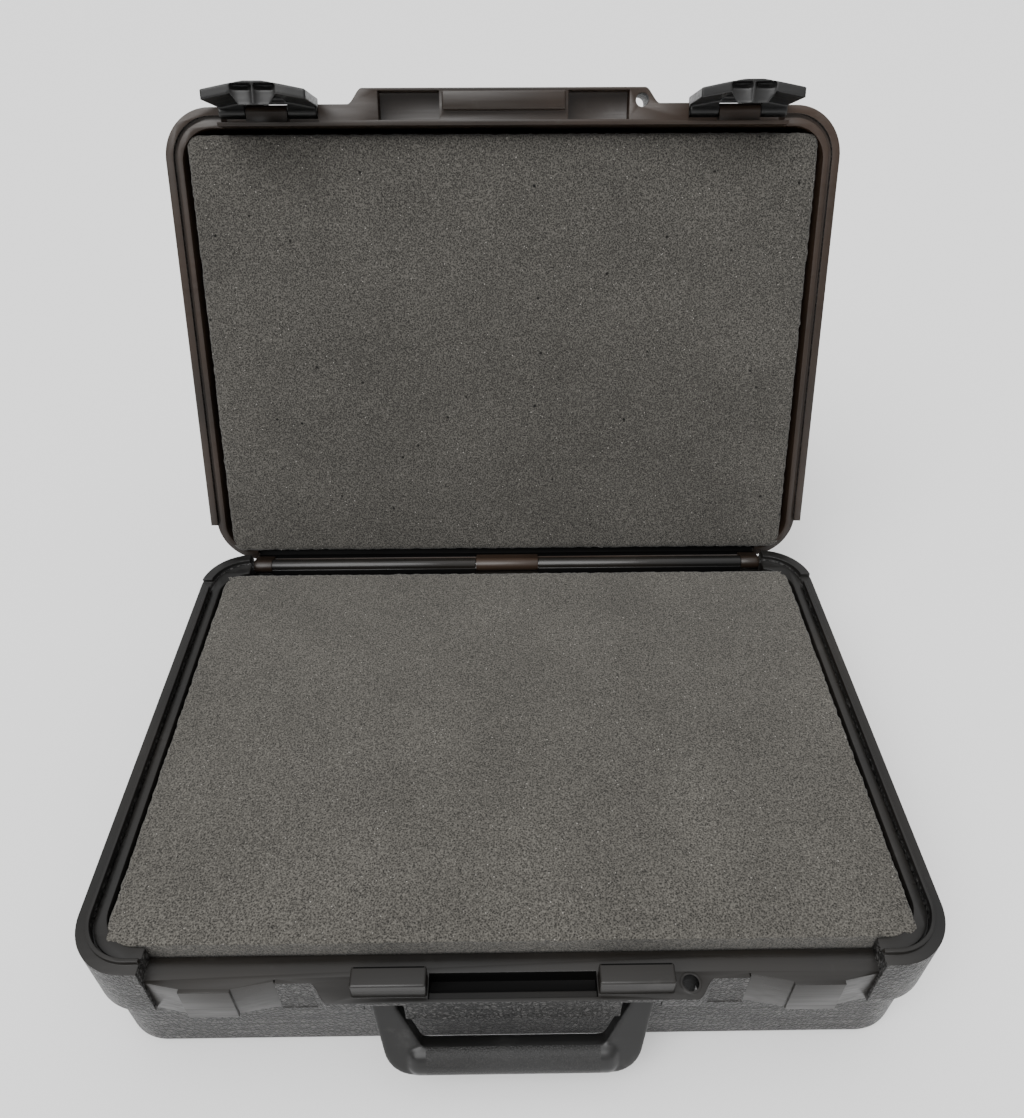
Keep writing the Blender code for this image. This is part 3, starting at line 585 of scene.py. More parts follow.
@dataclass
class BaseShell:
    """The double-wall lower half, with its rim, shelf, latch seats and hinge barrels."""

    wall: float = 14.4
    front_wall: float = 15.0
    back_wall: float = 16.8
    floor: float = 14.0
    body_inset: float = 4.6
    body_draft: float = 0.5
    body_rounding: float = 4.5
    seat_pocket_depth: float = 2.8
    bulge_reach: float = 10.3
    bulge_half_width: float = 99.0
    bulge_thickness: float = 7.5
    centre_wall: tuple[float, float, float] = (56.5, 10.0, 31.0)
    panel: Span = (103.5, 122.9)
    block: Span = (43.7, 82.2)
    block_back: float = 3.5
    block_front: float = 7.2
    slot_half_width: float = 43.2
    slot_back: float = 4.8
    slot_front: float = 8.3
    slot_depth: float = 6.0
    slot_sill: float = 2.6
    lock_lip_width: float = 1.3
    lock_lip_height: float = 0.2
    tongue: Span = (5.5, 7.6)
    tongue_rise: float = 2.8
    tongue_end: float = 127.0
    inner_wall_drop: float = 1.4
    channel_inner: float = 8.9
    channel_drop: float = 4.0
    corner_raise: float = 3.0
    corner_raise_width: float = 7.4
    corner_raise_start: float = 134.5
    barrel: Span = (24.5, 182.8)
    barrel_radius: float = 5.0
    end_knuckle_outer: float = 197.0
    handle_pocket: Span = (55.5, 75.8)
    handle_pocket_top: float = 14.6
    handle_pocket_depth: float = 12.0
    trough_reach: float = 22.0
    panel_depth: float = 0.25

    def _body(self) -> Solid:
        """Rim band and lower body."""
        band = inset_slab("base_band", 0.0, (SIZE.rim - SIZE.band_height, SIZE.rim))
        lower = BENCH.slab(
            "base_lower",
            (-SIZE.half_width + self.body_inset, SIZE.half_width - self.body_inset),
            (SIZE.front + self.body_inset, SIZE.back - self.body_inset),
            (0, SIZE.rim - SIZE.band_height + 8),
            SIZE.corner_radius - self.body_inset,
            draft=self.body_draft,
            rounding=self.body_rounding,
        )
        return BENCH.join(band, lower)

    def _seat(self, side: Side) -> Solid:
        """The three facets that a latch lies against."""
        (inner, outer), (flat_inner, flat_outer) = SEAT_ENDS, SEAT_FLAT
        offsets = (outer, flat_outer + SEAT_STEP, flat_outer, flat_inner, flat_inner - SEAT_STEP,
                   inner)
        points = [(SIZE.latch_x + x, SIZE.front - seat_reach(x)) for x in offsets]
        points += [(SIZE.latch_x + x, SIZE.front + PAST) for x in (inner, outer)]
        bottom = SIZE.rim - SIZE.band_height + 0.4
        outline = [(side.value * x, y) for x, y in points]
        return BENCH.prism(f"seat_{side.value}", outline, (bottom, SIZE.rim - 4))

    def _front(self, shell: Solid) -> None:
        """Latch seats, bulge, centre wall, shelf, locating blocks, slot and padlock hole."""
        rim, front = SIZE.rim, SIZE.front
        pockets = BENCH.mirrored(
            BENCH.box, "seat_pocket", *SIZE.latch_pocket,
            (front - WELL_PAST, front + self.seat_pocket_depth),
            (rim - SIZE.band_height - PAST, rim + PAST),
        )
        BENCH.cut(shell, *pockets)
        seats = [self._seat(side) for side in Side]
        outline = bulge_outline(self.bulge_reach, self.bulge_half_width)
        bottom = rim - SIZE.shelf_drop - self.bulge_thickness
        bulge = BENCH.prism("bulge", outline, (bottom, rim - 4))
        half, reach, drop = self.centre_wall
        wall = BENCH.box("centre_wall", (-half, half), (front - reach, front + 2),
                         (rim - drop, rim - SIZE.shelf_drop - 3))
        BENCH.join(shell, *seats, bulge, wall)
        panels = BENCH.mirrored(
            BENCH.box, "panel_recess", *self.panel,
            (front - WELL_PAST, front + self.panel_depth),
            (rim - 38.6, rim + PAST),
        )
        half = SIZE.shelf_half_width
        shelf = BENCH.box(
            "shelf_cut", (-half, half), (front - 30, front + self.front_wall + 8),
            (rim - SIZE.shelf_drop, rim + 30),
        )
        BENCH.cut(shell, *panels, shelf)
        blocks = BENCH.mirrored(
            BENCH.box, "block", *self.block, (front - self.block_front, front + self.block_back),
            (rim - SIZE.shelf_drop - 3.5, rim - 0.4), rounding=1.3, segments=4,
        )
        BENCH.join(shell, *blocks)
        floor = rim - SIZE.shelf_drop - self.slot_depth
        width = (-self.slot_half_width, self.slot_half_width)
        slot = BENCH.box(
            "slot", width, (front - self.slot_front, front + self.slot_back), (floor, rim + PAST)
        )
        well = BENCH.box(
            "slot_well", width, (front - self.slot_sill, front + self.slot_back),
            (floor - 4, rim),
        )
        hole = BENCH.post(
            "base_lock_hole", SIZE.lock_hole_x, front - SIZE.lock_hole_reach,
            (rim - SIZE.band_height - 10, rim + PAST), SIZE.lock_hole_radius,
        )
        lip = BENCH.post(
            "lock_hole_lip", SIZE.lock_hole_x, front - SIZE.lock_hole_reach,
            (rim - SIZE.shelf_drop - 2, rim - SIZE.shelf_drop + self.lock_lip_height),
            SIZE.lock_hole_radius + self.lock_lip_width,
        )
        BENCH.join(shell, lip)
        BENCH.cut(shell, slot, well, hole)

    def _rim(self, shell: Solid) -> None:
        """The locating tongue, the channel behind it and the raised back corners."""
        rim = SIZE.rim
        inner = self.tongue[1]
        sink = rim_ring("wall_sink", inner, self.back_wall + 4,
                        (rim - self.inner_wall_drop, rim + 10))
        channel = rim_ring("channel", inner, self.channel_inner,
                           (rim - self.channel_drop, rim + 10),
                           keep_front("channel", self.tongue_end))
        BENCH.cut(shell, sink, channel)
        tongue = rim_ring("tongue", *self.tongue, (rim - 2, rim + self.tongue_rise),
                          keep_front("tongue", self.tongue_end))
        corners = rim_ring(
            "raised_corners", 0.3, self.corner_raise_width,
            (rim - 2, rim + self.corner_raise),
            keep_back_corners("raised", self.corner_raise_start, self.end_knuckle_outer + 1.2),
        )
        BENCH.soften(corners, 2.4, segments=5, angle=50.0)
        BENCH.join(shell, tongue, corners)

    def _handle_seat(self, shell: Solid) -> None:
        """Pockets for the handle arms and the pin bores."""
        rim, front = SIZE.rim, SIZE.front
        pockets = BENCH.mirrored(
            BENCH.box, "handle_pocket", *self.handle_pocket,
            (front - 30, front + self.handle_pocket_depth),
            (rim - SIZE.band_height - 4, rim - self.handle_pocket_top),
        )
        bores = BENCH.mirrored(
            BENCH.rod, "handle_bore", 52.7, 80.8, front + SIZE.handle_pivot_inset,
            rim - SIZE.handle_pivot_drop, SIZE.handle_bore_radius,
        )
        BENCH.cut(shell, *pockets, *bores)

    def _hinge(self, shell: Solid) -> None:
        """The lowered back rim and the two long barrels."""
        y, z, rim = SIZE.hinge_y, SIZE.hinge_z, SIZE.rim
        end = self.end_knuckle_outer + 0.5
        trough = BENCH.box("trough", (-end, end), (SIZE.back - 11.5, SIZE.back + WELL_PAST),
                           (z, rim + WELL_PAST))
        gutter = BENCH.box(
            "gutter", (-end, end),
            (SIZE.back - self.trough_reach, y - self.barrel_radius - 0.4),
            (z - self.barrel_radius - 0.6, rim + WELL_PAST),
        )
        BENCH.cut(shell, trough, gutter)
        barrels = BENCH.mirrored(
            BENCH.rod, "barrel", self.barrel[0] - 0.2, self.barrel[1] + 0.2, y, z,
            self.barrel_radius,
        )
        BENCH.join(shell, *barrels)
        room = ((y - 5.9, SIZE.back + WELL_PAST), (z - 5.8, rim + WELL_PAST))
        clearances = [BENCH.box("knuckle_room", (-self.barrel[0], self.barrel[0]), *room)]
        clearances += BENCH.mirrored(BENCH.box, "end_room", self.barrel[1], end, *room)
        bore = BENCH.rod("base_hinge_bore", (-end, end), y, z, SIZE.hinge_bore_radius)
        BENCH.cut(shell, *clearances, bore)

    def faces(self, centres: np.ndarray, normals: np.ndarray) -> np.ndarray:
        """Picks pebble grain (0), satin (1), glossy barrel (2) or painted recess shade (3).

        Args:
            centres: face centres in millimetres.
            normals: face normals.

        Returns:
            The slot number of each face.
        """
        x, y, z = np.abs(centres[:, 0]), centres[:, 1], centres[:, 2]
        front, rim = SIZE.front, SIZE.rim
        outside = (normals[:, 2] < 0.55) & (z < rim - 0.2) & (inset_from_outline(x, y) < 9.0)
        outside |= z < 0.5
        seat = between(x, SIZE.latch_pocket[0] + 0.5, SIZE.latch_pocket[1] - 0.5)
        seat &= (y < front + 4) & (z > rim - SIZE.band_height + 0.6)
        top_of_front = (y < front + 4) & (z > rim - SIZE.shelf_drop - 0.3)
        top_of_front &= x < SIZE.shelf_half_width - 0.5
        pocket = between(x, self.handle_pocket[0], self.handle_pocket[1] + 0.1)
        pocket &= between(y, front, 0)
        slot = (x < self.slot_half_width + 0.3) & between(z, rim - 24, rim - 12.3)
        slot &= between(y, front - self.slot_front - 0.3, front + self.slot_back + 0.3)
        slot &= ~((normals[:, 2] > 0.5) & (y < front - self.slot_sill + 0.3))
        hole = np.hypot(centres[:, 0] - SIZE.lock_hole_x, y - front + SIZE.lock_hole_reach)
        slot |= (hole < SIZE.lock_hole_radius + 0.2) & (z < rim - SIZE.shelf_drop - 0.6)
        gutter = between(y, SIZE.back - self.trough_reach - 0.3, SIZE.hinge_y - 5.2)
        gutter &= (x < self.end_knuckle_outer) & between(z, rim - 14, rim - 1.6)
        hinge = (y > SIZE.hinge_y - 5.4) & (z > SIZE.hinge_z - 5.2)
        hinge &= between(x, self.barrel[0] - 0.5, self.barrel[1] + 0.5)
        kind = np.where(outside & ~seat & ~top_of_front & ~pocket, 0, 1)
        kind = np.where(hinge, 2, kind)
        # The slot, gutter, handle pockets and lock hole take the near-black matte plastic: painted
        # shade in these deep spots.
        return np.where(slot | gutter | pocket, 3, kind)

    def build(self, finishes: Sequence[Finish]) -> Solid:
        """Makes the base shell.

        Args:
            finishes: pebble grain, satin, barrel and painted recess shade materials.

        Returns:
            The finished piece.
        """
        shell = self._body()
        self._front(shell)
        tray = case_cavity("tray", self.wall, self.front_wall, self.back_wall,
                           (self.floor, SIZE.rim + 30))
        self._rim(shell)
        BENCH.cut(shell, tray)
        self._handle_seat(shell)
        self._hinge(shell)
        BENCH.tidy(shell)
        BENCH.soften(shell, SHELL_EDGE)
        paint(shell, finishes, self.faces)
        return as_piece(shell, "base_shell_skin", Body.BASE, ["base_shell"])


# ---------------------------------------------------------------- lid

@dataclass
class LidShell:
    """The double-wall upper half, with its skirt, latch pockets and hinge knuckles."""

    wall: float = 11.3
    front_wall: float = 12.8
    back_wall: float = 11.5
    ceiling_depth: float = 12.0
    crown_draft: float = 3.0
    crown_rounding: float = 12.0
    skirt_half_width: float = 189.4
    tab_reach: float = 9.5
    tab_half_width: float = 98.0
    tab_top: float = 14.0
    recess: Span = (42.5, 82.8)
    recess_back: float = 9.5
    key_half_width: float = 40.5
    key: Span = (-7.4, 4.2)
    pocket_top: float = 13.5
    pocket_depth: float = 10.5
    groove: Span = (5.2, 7.9)
    groove_depth: float = 3.4
    groove_end: float = 130.0
    corner_cut_width: float = 8.0
    corner_cut_height: float = 12.0
    inner_cut_height: float = 5.0
    inner_cut_start: float = 146.0
    centre_knuckle: float = 24.1
    end_knuckle: Span = (183.2, 197.0)
    barrel_radius: float = 4.9
    back_step: Span = (5.5, 17.5)
    back_step_height: float = 9.0

    def _body(self) -> Solid:
        """Crown, front skirt and centre tab."""
        rim, front = SIZE.lid_rim, SIZE.front
        crown = BENCH.slab(
            "lid_crown", (-SIZE.half_width, SIZE.half_width), (front, SIZE.back),
            (rim, SIZE.lid_top), SIZE.corner_radius, draft=self.crown_draft,
            rounding=self.crown_rounding, narrow_top=True,
        )
        skirt = BENCH.box(
            "skirt", (-self.skirt_half_width, self.skirt_half_width),
            (front + 0.05, front + self.front_wall + 4), (rim - SIZE.shelf_drop, rim + 2),
        )
        tab = BENCH.prism(
            "tab", bulge_outline(self.tab_reach, self.tab_half_width),
            (rim - SIZE.shelf_drop + 0.05, rim + self.tab_top),
        )
        return BENCH.join(crown, skirt, tab)

    def _front(self, shell: Solid) -> None:
        """Recesses, latch pockets, padlock hole, locating key and pin lugs."""
        rim, front = SIZE.lid_rim, SIZE.front
        below = rim - SIZE.shelf_drop - PAST
        recesses = BENCH.mirrored(
            BENCH.box, "recess", *self.recess, (front - 7.9, front + self.recess_back),
            (below, rim + 0.5),
        )
        pockets = BENCH.mirrored(
            BENCH.box, "latch_pocket", *SIZE.latch_pocket,
            (front - WELL_PAST, front + self.pocket_depth), (below, rim + self.pocket_top),
        )
        hole = BENCH.post(
            "lid_lock_hole", SIZE.lock_hole_x, front - SIZE.lock_hole_reach,
            (below, rim + self.tab_top + WELL_PAST), SIZE.lock_hole_radius,
        )
        BENCH.cut(shell, *recesses, *pockets, hole)
        key = BENCH.box(
            "key", (-self.key_half_width, self.key_half_width),
            (front + self.key[0], front + self.key[1]),
            (below, rim - SIZE.shelf_drop + 2), rounding=1.2, segments=3,
        )
        y, z, r = SIZE.latch_pin_y, SIZE.latch_pin_z, SIZE.latch_knuckle_radius
        webs = BENCH.mirrored(
            BENCH.box, "lug_web", *SIZE.latch_lug, (y, front + self.pocket_depth + 1),
            (z - r + 0.1, z + r - 0.4),
        )
        lugs = BENCH.mirrored(BENCH.rod, "lug", *SIZE.latch_lug, y, z, r)
        BENCH.join(shell, key, *webs, *lugs)
        bores = BENCH.mirrored(
            BENCH.rod, "lug_bore", SIZE.latch_lug[0] - 2, SIZE.latch_lug[1] + 2, y, z,
            SIZE.latch_bore_radius,
        )
        BENCH.cut(shell, *bores)

    def _rim(self, shell: Solid) -> None:
        """The groove for the base tongue and the relieved back corners."""
        rim = SIZE.rim
        groove = rim_ring("groove", *self.groove, (rim - PAST, rim + self.groove_depth),
                          keep_front("groove", self.groove_end))
        outer = rim_ring(
            "corner_relief", -3.0, self.corner_cut_width, (rim - PAST, rim + self.corner_cut_height),
            keep_back_corners("relief", self.groove_end, self.end_knuckle[1]),
        )
        inner = rim_ring(
            "inner_relief", self.corner_cut_width - 1.0, self.wall + 12.0,
            (rim - PAST, rim + self.inner_cut_height),
            keep_back_corners("inner", self.inner_cut_start, self.end_knuckle[1]),
        )
        outer_end = self.end_knuckle[1]
        step = BENCH.box(
            "back_step", (-outer_end, outer_end),
            (SIZE.back - self.back_step[1], SIZE.back - self.back_step[0]),
            (rim - PAST, SIZE.lid_rim + self.back_step_height),
        )
        BENCH.cut(shell, groove, outer, inner, step)

    def _hinge(self, shell: Solid) -> None:
        """Centre and end knuckles on webs down from the back rim."""
        spans = [(-self.centre_knuckle, self.centre_knuckle), self.end_knuckle,
                 (-self.end_knuckle[1], -self.end_knuckle[0])]
        pieces = []
        for number, span in enumerate(spans):
            web_y = (SIZE.hinge_y - 4.6, SIZE.back - 0.1)
            pieces.append(
                BENCH.box(f"web_{number}", span, web_y, (SIZE.hinge_z, SIZE.lid_rim + 2))
            )
            pieces.append(
                BENCH.rod(f"knuckle_{number}", span, SIZE.hinge_y, SIZE.hinge_z,
                          self.barrel_radius)
            )
        BENCH.join(shell, *pieces)
        bore = BENCH.rod("lid_hinge_bore", (-SIZE.half_width, SIZE.half_width), SIZE.hinge_y,
                         SIZE.hinge_z, SIZE.hinge_bore_radius)
        BENCH.cut(shell, bore)

    def faces(self, centres: np.ndarray, normals: np.ndarray) -> np.ndarray:
        """Picks pebble grain (0), satin (1) or painted recess shade (2), in closed-case coordinates.
        """
        x, y, z = np.abs(centres[:, 0]), centres[:, 1], centres[:, 2]
        outside = (z > SIZE.lid_rim + 0.4) & (normals[:, 2] > -0.4)
        outer = (inset_from_outline(x, y) < 6.5) | (z > SIZE.lid_top - 11)
        pocket = between(x, SIZE.latch_pocket[0] - 0.6, SIZE.latch_pocket[1] + 0.6)
        pocket &= (y < 0) & (z < SIZE.lid_rim + self.pocket_top + 0.1)
        step = between(y, SIZE.back - self.back_step[1] - 0.3, SIZE.back - self.back_step[0] + 0.3)
        step &= between(z, SIZE.rim - 1, SIZE.lid_rim + self.back_step_height + 0.3)
        step &= x < self.end_knuckle[1]
        kind = np.where(outside & outer & ~pocket, 0, 1)
        # The back step takes the near-black matte plastic: painted shade in the step.
        return np.where(step, 2, kind)

    def build(self, finishes: Sequence[Finish]) -> Solid:
        """Makes the lid shell and opens it.

        Args:
            finishes: pebble grain, satin and painted recess shade materials.

        Returns:
            The finished piece.
        """
        shell = self._body()
        cavity = case_cavity("lid_cavity", self.wall, self.front_wall, self.back_wall,
                             (SIZE.rim - TALL, SIZE.lid_top - self.ceiling_depth))
        BENCH.cut(shell, cavity)
        self._front(shell)
        self._rim(shell)
        self._hinge(shell)
        BENCH.tidy(shell)
        BENCH.soften(shell, SHELL_EDGE)
        paint(shell, finishes, self.faces)
        return as_piece(shell, "lid_shell_skin", Body.LID, ["lid_shell"],
                        SIZE.lid_swing())


# ---------------------------------------------------------------- latches

@dataclass
class Latch:
    """A snap latch: a bowed plate with a hook below and two knuckles on its pin."""

    side: Side
    body: Body
    node: str
    half_width: float = 32.7
    top: float = 1.0
    bottom: float = 44.0
    flat_half: float = 5.5
    centre_reach: float = 9.6
    tip_reach: float = 4.8
    gap: float = 0.4
    hook_top: float = 41.6
    hook_back: float = 4.2
    hook_half_width: float = 16.5
    hook_tip_half_width: float = 9.5
    scoop_sides: int = 28
    scoop_span: Span = (0.7, 14.0)
    scoop_profile: tuple[Span, ...] = ((8.1, 6.5), (5.0, 4.5), (4.4, 1.9), (-4.0, 1.3))

    def _outer(self, offset: float) -> float:
        """Reach of the bowed outside at a distance from the latch's middle."""
        away = max(0.0, abs(offset) - self.flat_half) / (self.half_width - self.flat_half)
        return self.centre_reach - (self.centre_reach - self.tip_reach) * away ** 1.12

    def _plate(self, name: str) -> Solid:
        """The bowed plate, nested to its seat."""
        half, (flat_inner, flat_outer) = self.half_width, SEAT_FLAT
        step = self.gap + 0.5
        offsets = np.linspace(-half, half, 25)
        outside = [(float(x), self._outer(float(x))) for x in offsets]
        marks = (half, flat_outer + SEAT_STEP + step, flat_outer + step, flat_inner - step,
                 flat_inner - SEAT_STEP - step, -half)
        reaches = (seat_reach(half), seat_reach(flat_outer + 0.1 + step), SEAT_FLAT_REACH,
                   SEAT_FLAT_REACH, seat_reach(flat_inner - 0.1 - step), seat_reach(-half))
        inside = [(x, reach + self.gap) for x, reach in zip(marks, reaches)]
        outline = [
            (self.side.value * (SIZE.latch_x + x), SIZE.front - reach)
            for x, reach in outside + inside
        ]
        return BENCH.prism(name, outline, (SIZE.rim - self.bottom, SIZE.rim - self.top))

    def _hook(self, name: str) -> Solid:
        """The lip that catches under the base flange."""
        middle = SIZE.latch_x
        plan = (
            (-self.hook_half_width, -5.5), (self.hook_half_width, -5.5),
            (self.hook_tip_half_width, self.hook_back),
            (-self.hook_tip_half_width, self.hook_back),
        )
        outline = [(self.side.value * (middle + x), SIZE.front + y) for x, y in plan]
        return BENCH.prism(name, outline, (SIZE.rim - self.bottom + 0.05,
                                           SIZE.rim - self.hook_top))

    def _span(self, inner: float, outer: float) -> Span:
        """A span along X, put on this latch's side."""
        return (inner, outer) if self.side is Side.RIGHT else (-outer, -inner)

    def _scoop(self, name: str, start: float, end: float) -> Solid:
        """A hollow in the free end, deep under the plate and shallow on the hook.

        Args:
            name: object name.
            start: inner offset from the latch's middle.
            end: outer offset from the latch's middle.

        Returns:
            The solid to cut away.
        """
        builder = bmesh.new()
        middle, half = SIZE.latch_x + (start + end) / 2, abs(end - start) / 2
        sides = self.scoop_sides
        rings = []
        for reach, depth in self.scoop_profile:
            ring = []
            for step in range(sides):
                turn = 2 * math.pi * step / sides
                x = self.side.value * (middle + half * math.cos(turn))
                z = SIZE.rim - self.bottom + depth * math.sin(turn)
                ring.append(builder.verts.new(Vector((x, SIZE.front - reach, z)) * MM))
            rings.append(ring)
        for near, far in zip(rings, rings[1:]):
            for step in range(sides):
                after = (step + 1) % sides
                builder.faces.new((near[step], near[after], far[after], far[step]))
        builder.faces.new(rings[0])
        builder.faces.new(rings[-1][::-1])
        return BENCH.from_bmesh(builder, name)

    def _bar(self, name: str) -> Solid:
        """The thin bar between the knuckles, ahead of the lid's lug."""
        y, z = SIZE.front, SIZE.rim
        span = self._span(SIZE.latch_lug[0] - 0.8, SIZE.latch_lug[1] + 0.8)
        return BENCH.box(name, span, (y - 5.0, y - 0.9), (z - 8.0, z - 1.2))

    def build(self, finish: Finish) -> Solid:
        """Makes the latch and carries it round to the open lid.

        Args:
            finish: its material.

        Returns:
            The finished piece.
        """
        name = self.node + "_skin"
        plate = self._plate(name)
        y, z, r = SIZE.latch_pin_y, SIZE.latch_pin_z, SIZE.latch_knuckle_radius
        spans = (
            self._span(SIZE.latch_x - self.half_width + 0.3, SIZE.latch_lug[0] - 0.4),
            self._span(SIZE.latch_lug[1] + 0.4, SIZE.latch_x + self.half_width - 0.3),
        )
        pieces = [self._hook(name + "_hook"), self._bar(name + "_bar")]
        for number, span in enumerate(spans):
            pieces.append(BENCH.rod(f"{name}_knuckle_{number}", span, y, z, r))
            pieces.append(BENCH.box(f"{name}_arm_{number}", span, (SIZE.front - 3, y),
                                    (z - r + 0.3, z + 2.6)))
        BENCH.join(plate, *pieces)
        reach = self.side.value * SIZE.latch_x
        bore = BENCH.rod(name + "_bore", (reach - TALL, reach + TALL), y, z,
                         SIZE.latch_bore_radius)
        near, far = self.scoop_span
        scoops = [
            self._scoop(name + "_scoop_inner", -far, -near),
            self._scoop(name + "_scoop_outer", near, far),
        ]
        BENCH.cut(plate, bore, *scoops)
        BENCH.melt(plate, 0.55, 2)
        paint(plate, [finish])
        return as_piece(plate, name, self.body, [self.node],
                        SIZE.lid_swing(), angle=60.0)


# ---------------------------------------------------------------- handle

@dataclass
class CarryHandle:
    """The moulded U-shaped handle with a thicker rounded grip."""

    rest_angle: float = 30.0
    top_half_width: float = 74.3
    bottom_half_width: float = 68.5
    arm_width: float = 12.7
    arm_thickness: float = 9.0
    grip_centre: float = 41.7
    grip_height: float = 18.6
    grip_thickness: float = 16.0
    grip_half_width: float = 57.0
    opening_half_width: float = 50.0
    corner: float = 17.0
    band_half_width: float = 46.0

    def _outline(self) -> list[Span]:
        """The handle seen square on: x across, y down the arms from the pivot line."""
        foot = self.grip_centre + self.grip_height / 2 - 0.6
        inner = self.grip_centre - self.grip_height / 2 + 1.2
        inner_top = self.top_half_width - self.arm_width
        right = [
            (self.opening_half_width - 6, inner), (self.opening_half_width - 1.5, inner - 1.2),
            (self.opening_half_width + 0.5, inner - 4.5), (inner_top, 9), (inner_top, -4.5),
            (inner_top + 1.5, -6), (self.top_half_width - 1.5, -6), (self.top_half_width, -4.5),
            (self.top_half_width, 8),
        ]
        for step in range(9):
            turn = math.radians(8 + 82 * step / 8)
            right.append((
                self.bottom_half_width - self.corner + self.corner * math.cos(turn),
                foot - self.corner + self.corner * math.sin(turn),
            ))
        return right + [(-x, y) for x, y in reversed(right)]

    def _frame(self) -> Solid:
        """Arms and foot as a flat bar, bevelled."""
        builder = bmesh.new()
        half = self.arm_thickness / 2 * MM
        verts = [builder.verts.new((x * MM, half, -y * MM)) for x, y in self._outline()]
        face = builder.faces.new(verts)
        moved = bmesh.ops.extrude_face_region(builder, geom=[face])["geom"]
        moved = [item for item in moved if isinstance(item, bmesh.types.BMVert)]
        bmesh.ops.translate(builder, verts=moved, vec=Vector((0, -2 * half, 0)))
        return BENCH.from_bmesh(builder, "handle_frame")

    def _grip(self) -> Solid:
        """The rounded bar that the hand closes on."""
        half_y, half_z = self.grip_thickness / 2, self.grip_height / 2
        return BENCH.box(
            "grip", (-self.grip_half_width, self.grip_half_width), (-half_y, half_y),
            (-self.grip_centre - half_z, -self.grip_centre + half_z), rounding=7.4, segments=7,
        )

    def faces(self, centres: np.ndarray, _normals: np.ndarray) -> np.ndarray:
        """Picks the pebbled grip band (1) or plain satin (0), in the handle's own frame."""
        band = np.abs(centres[:, 0]) < self.band_half_width
        band &= centres[:, 2] < -(self.grip_centre - self.grip_height / 2 + 1.0)
        return np.where(band, 1, 0)

    def build(self, finishes: Sequence[Finish]) -> Solid:
        """Makes the handle, hanging at its rest angle.

        Args:
            finishes: plain satin and pebbled grip materials.

        Returns:
            The finished piece.
        """
        handle = self._frame()
        BENCH.join(handle, self._grip())
        inner = self.top_half_width - self.arm_width
        bores = BENCH.mirrored(BENCH.rod, "arm_bore", inner - 4, self.top_half_width + 4, 0, 0,
                               SIZE.handle_bore_radius)
        BENCH.cut(handle, *bores)
        BENCH.melt(handle, 0.8, 6)
        paint(handle, finishes, self.faces)
        y, z = SIZE.front + SIZE.handle_pivot_inset, SIZE.rim - SIZE.handle_pivot_drop
        pivot = Vector((0, y, z)) * MM
        turn = Matrix.Translation(pivot) @ Matrix.Rotation(math.radians(-self.rest_angle), 4, "X")
        return as_piece(handle, "carry_handle_skin", Body.HANDLE, ["carry_handle"],
                        turn, angle=60.0)


# ---------------------------------------------------------------- foam

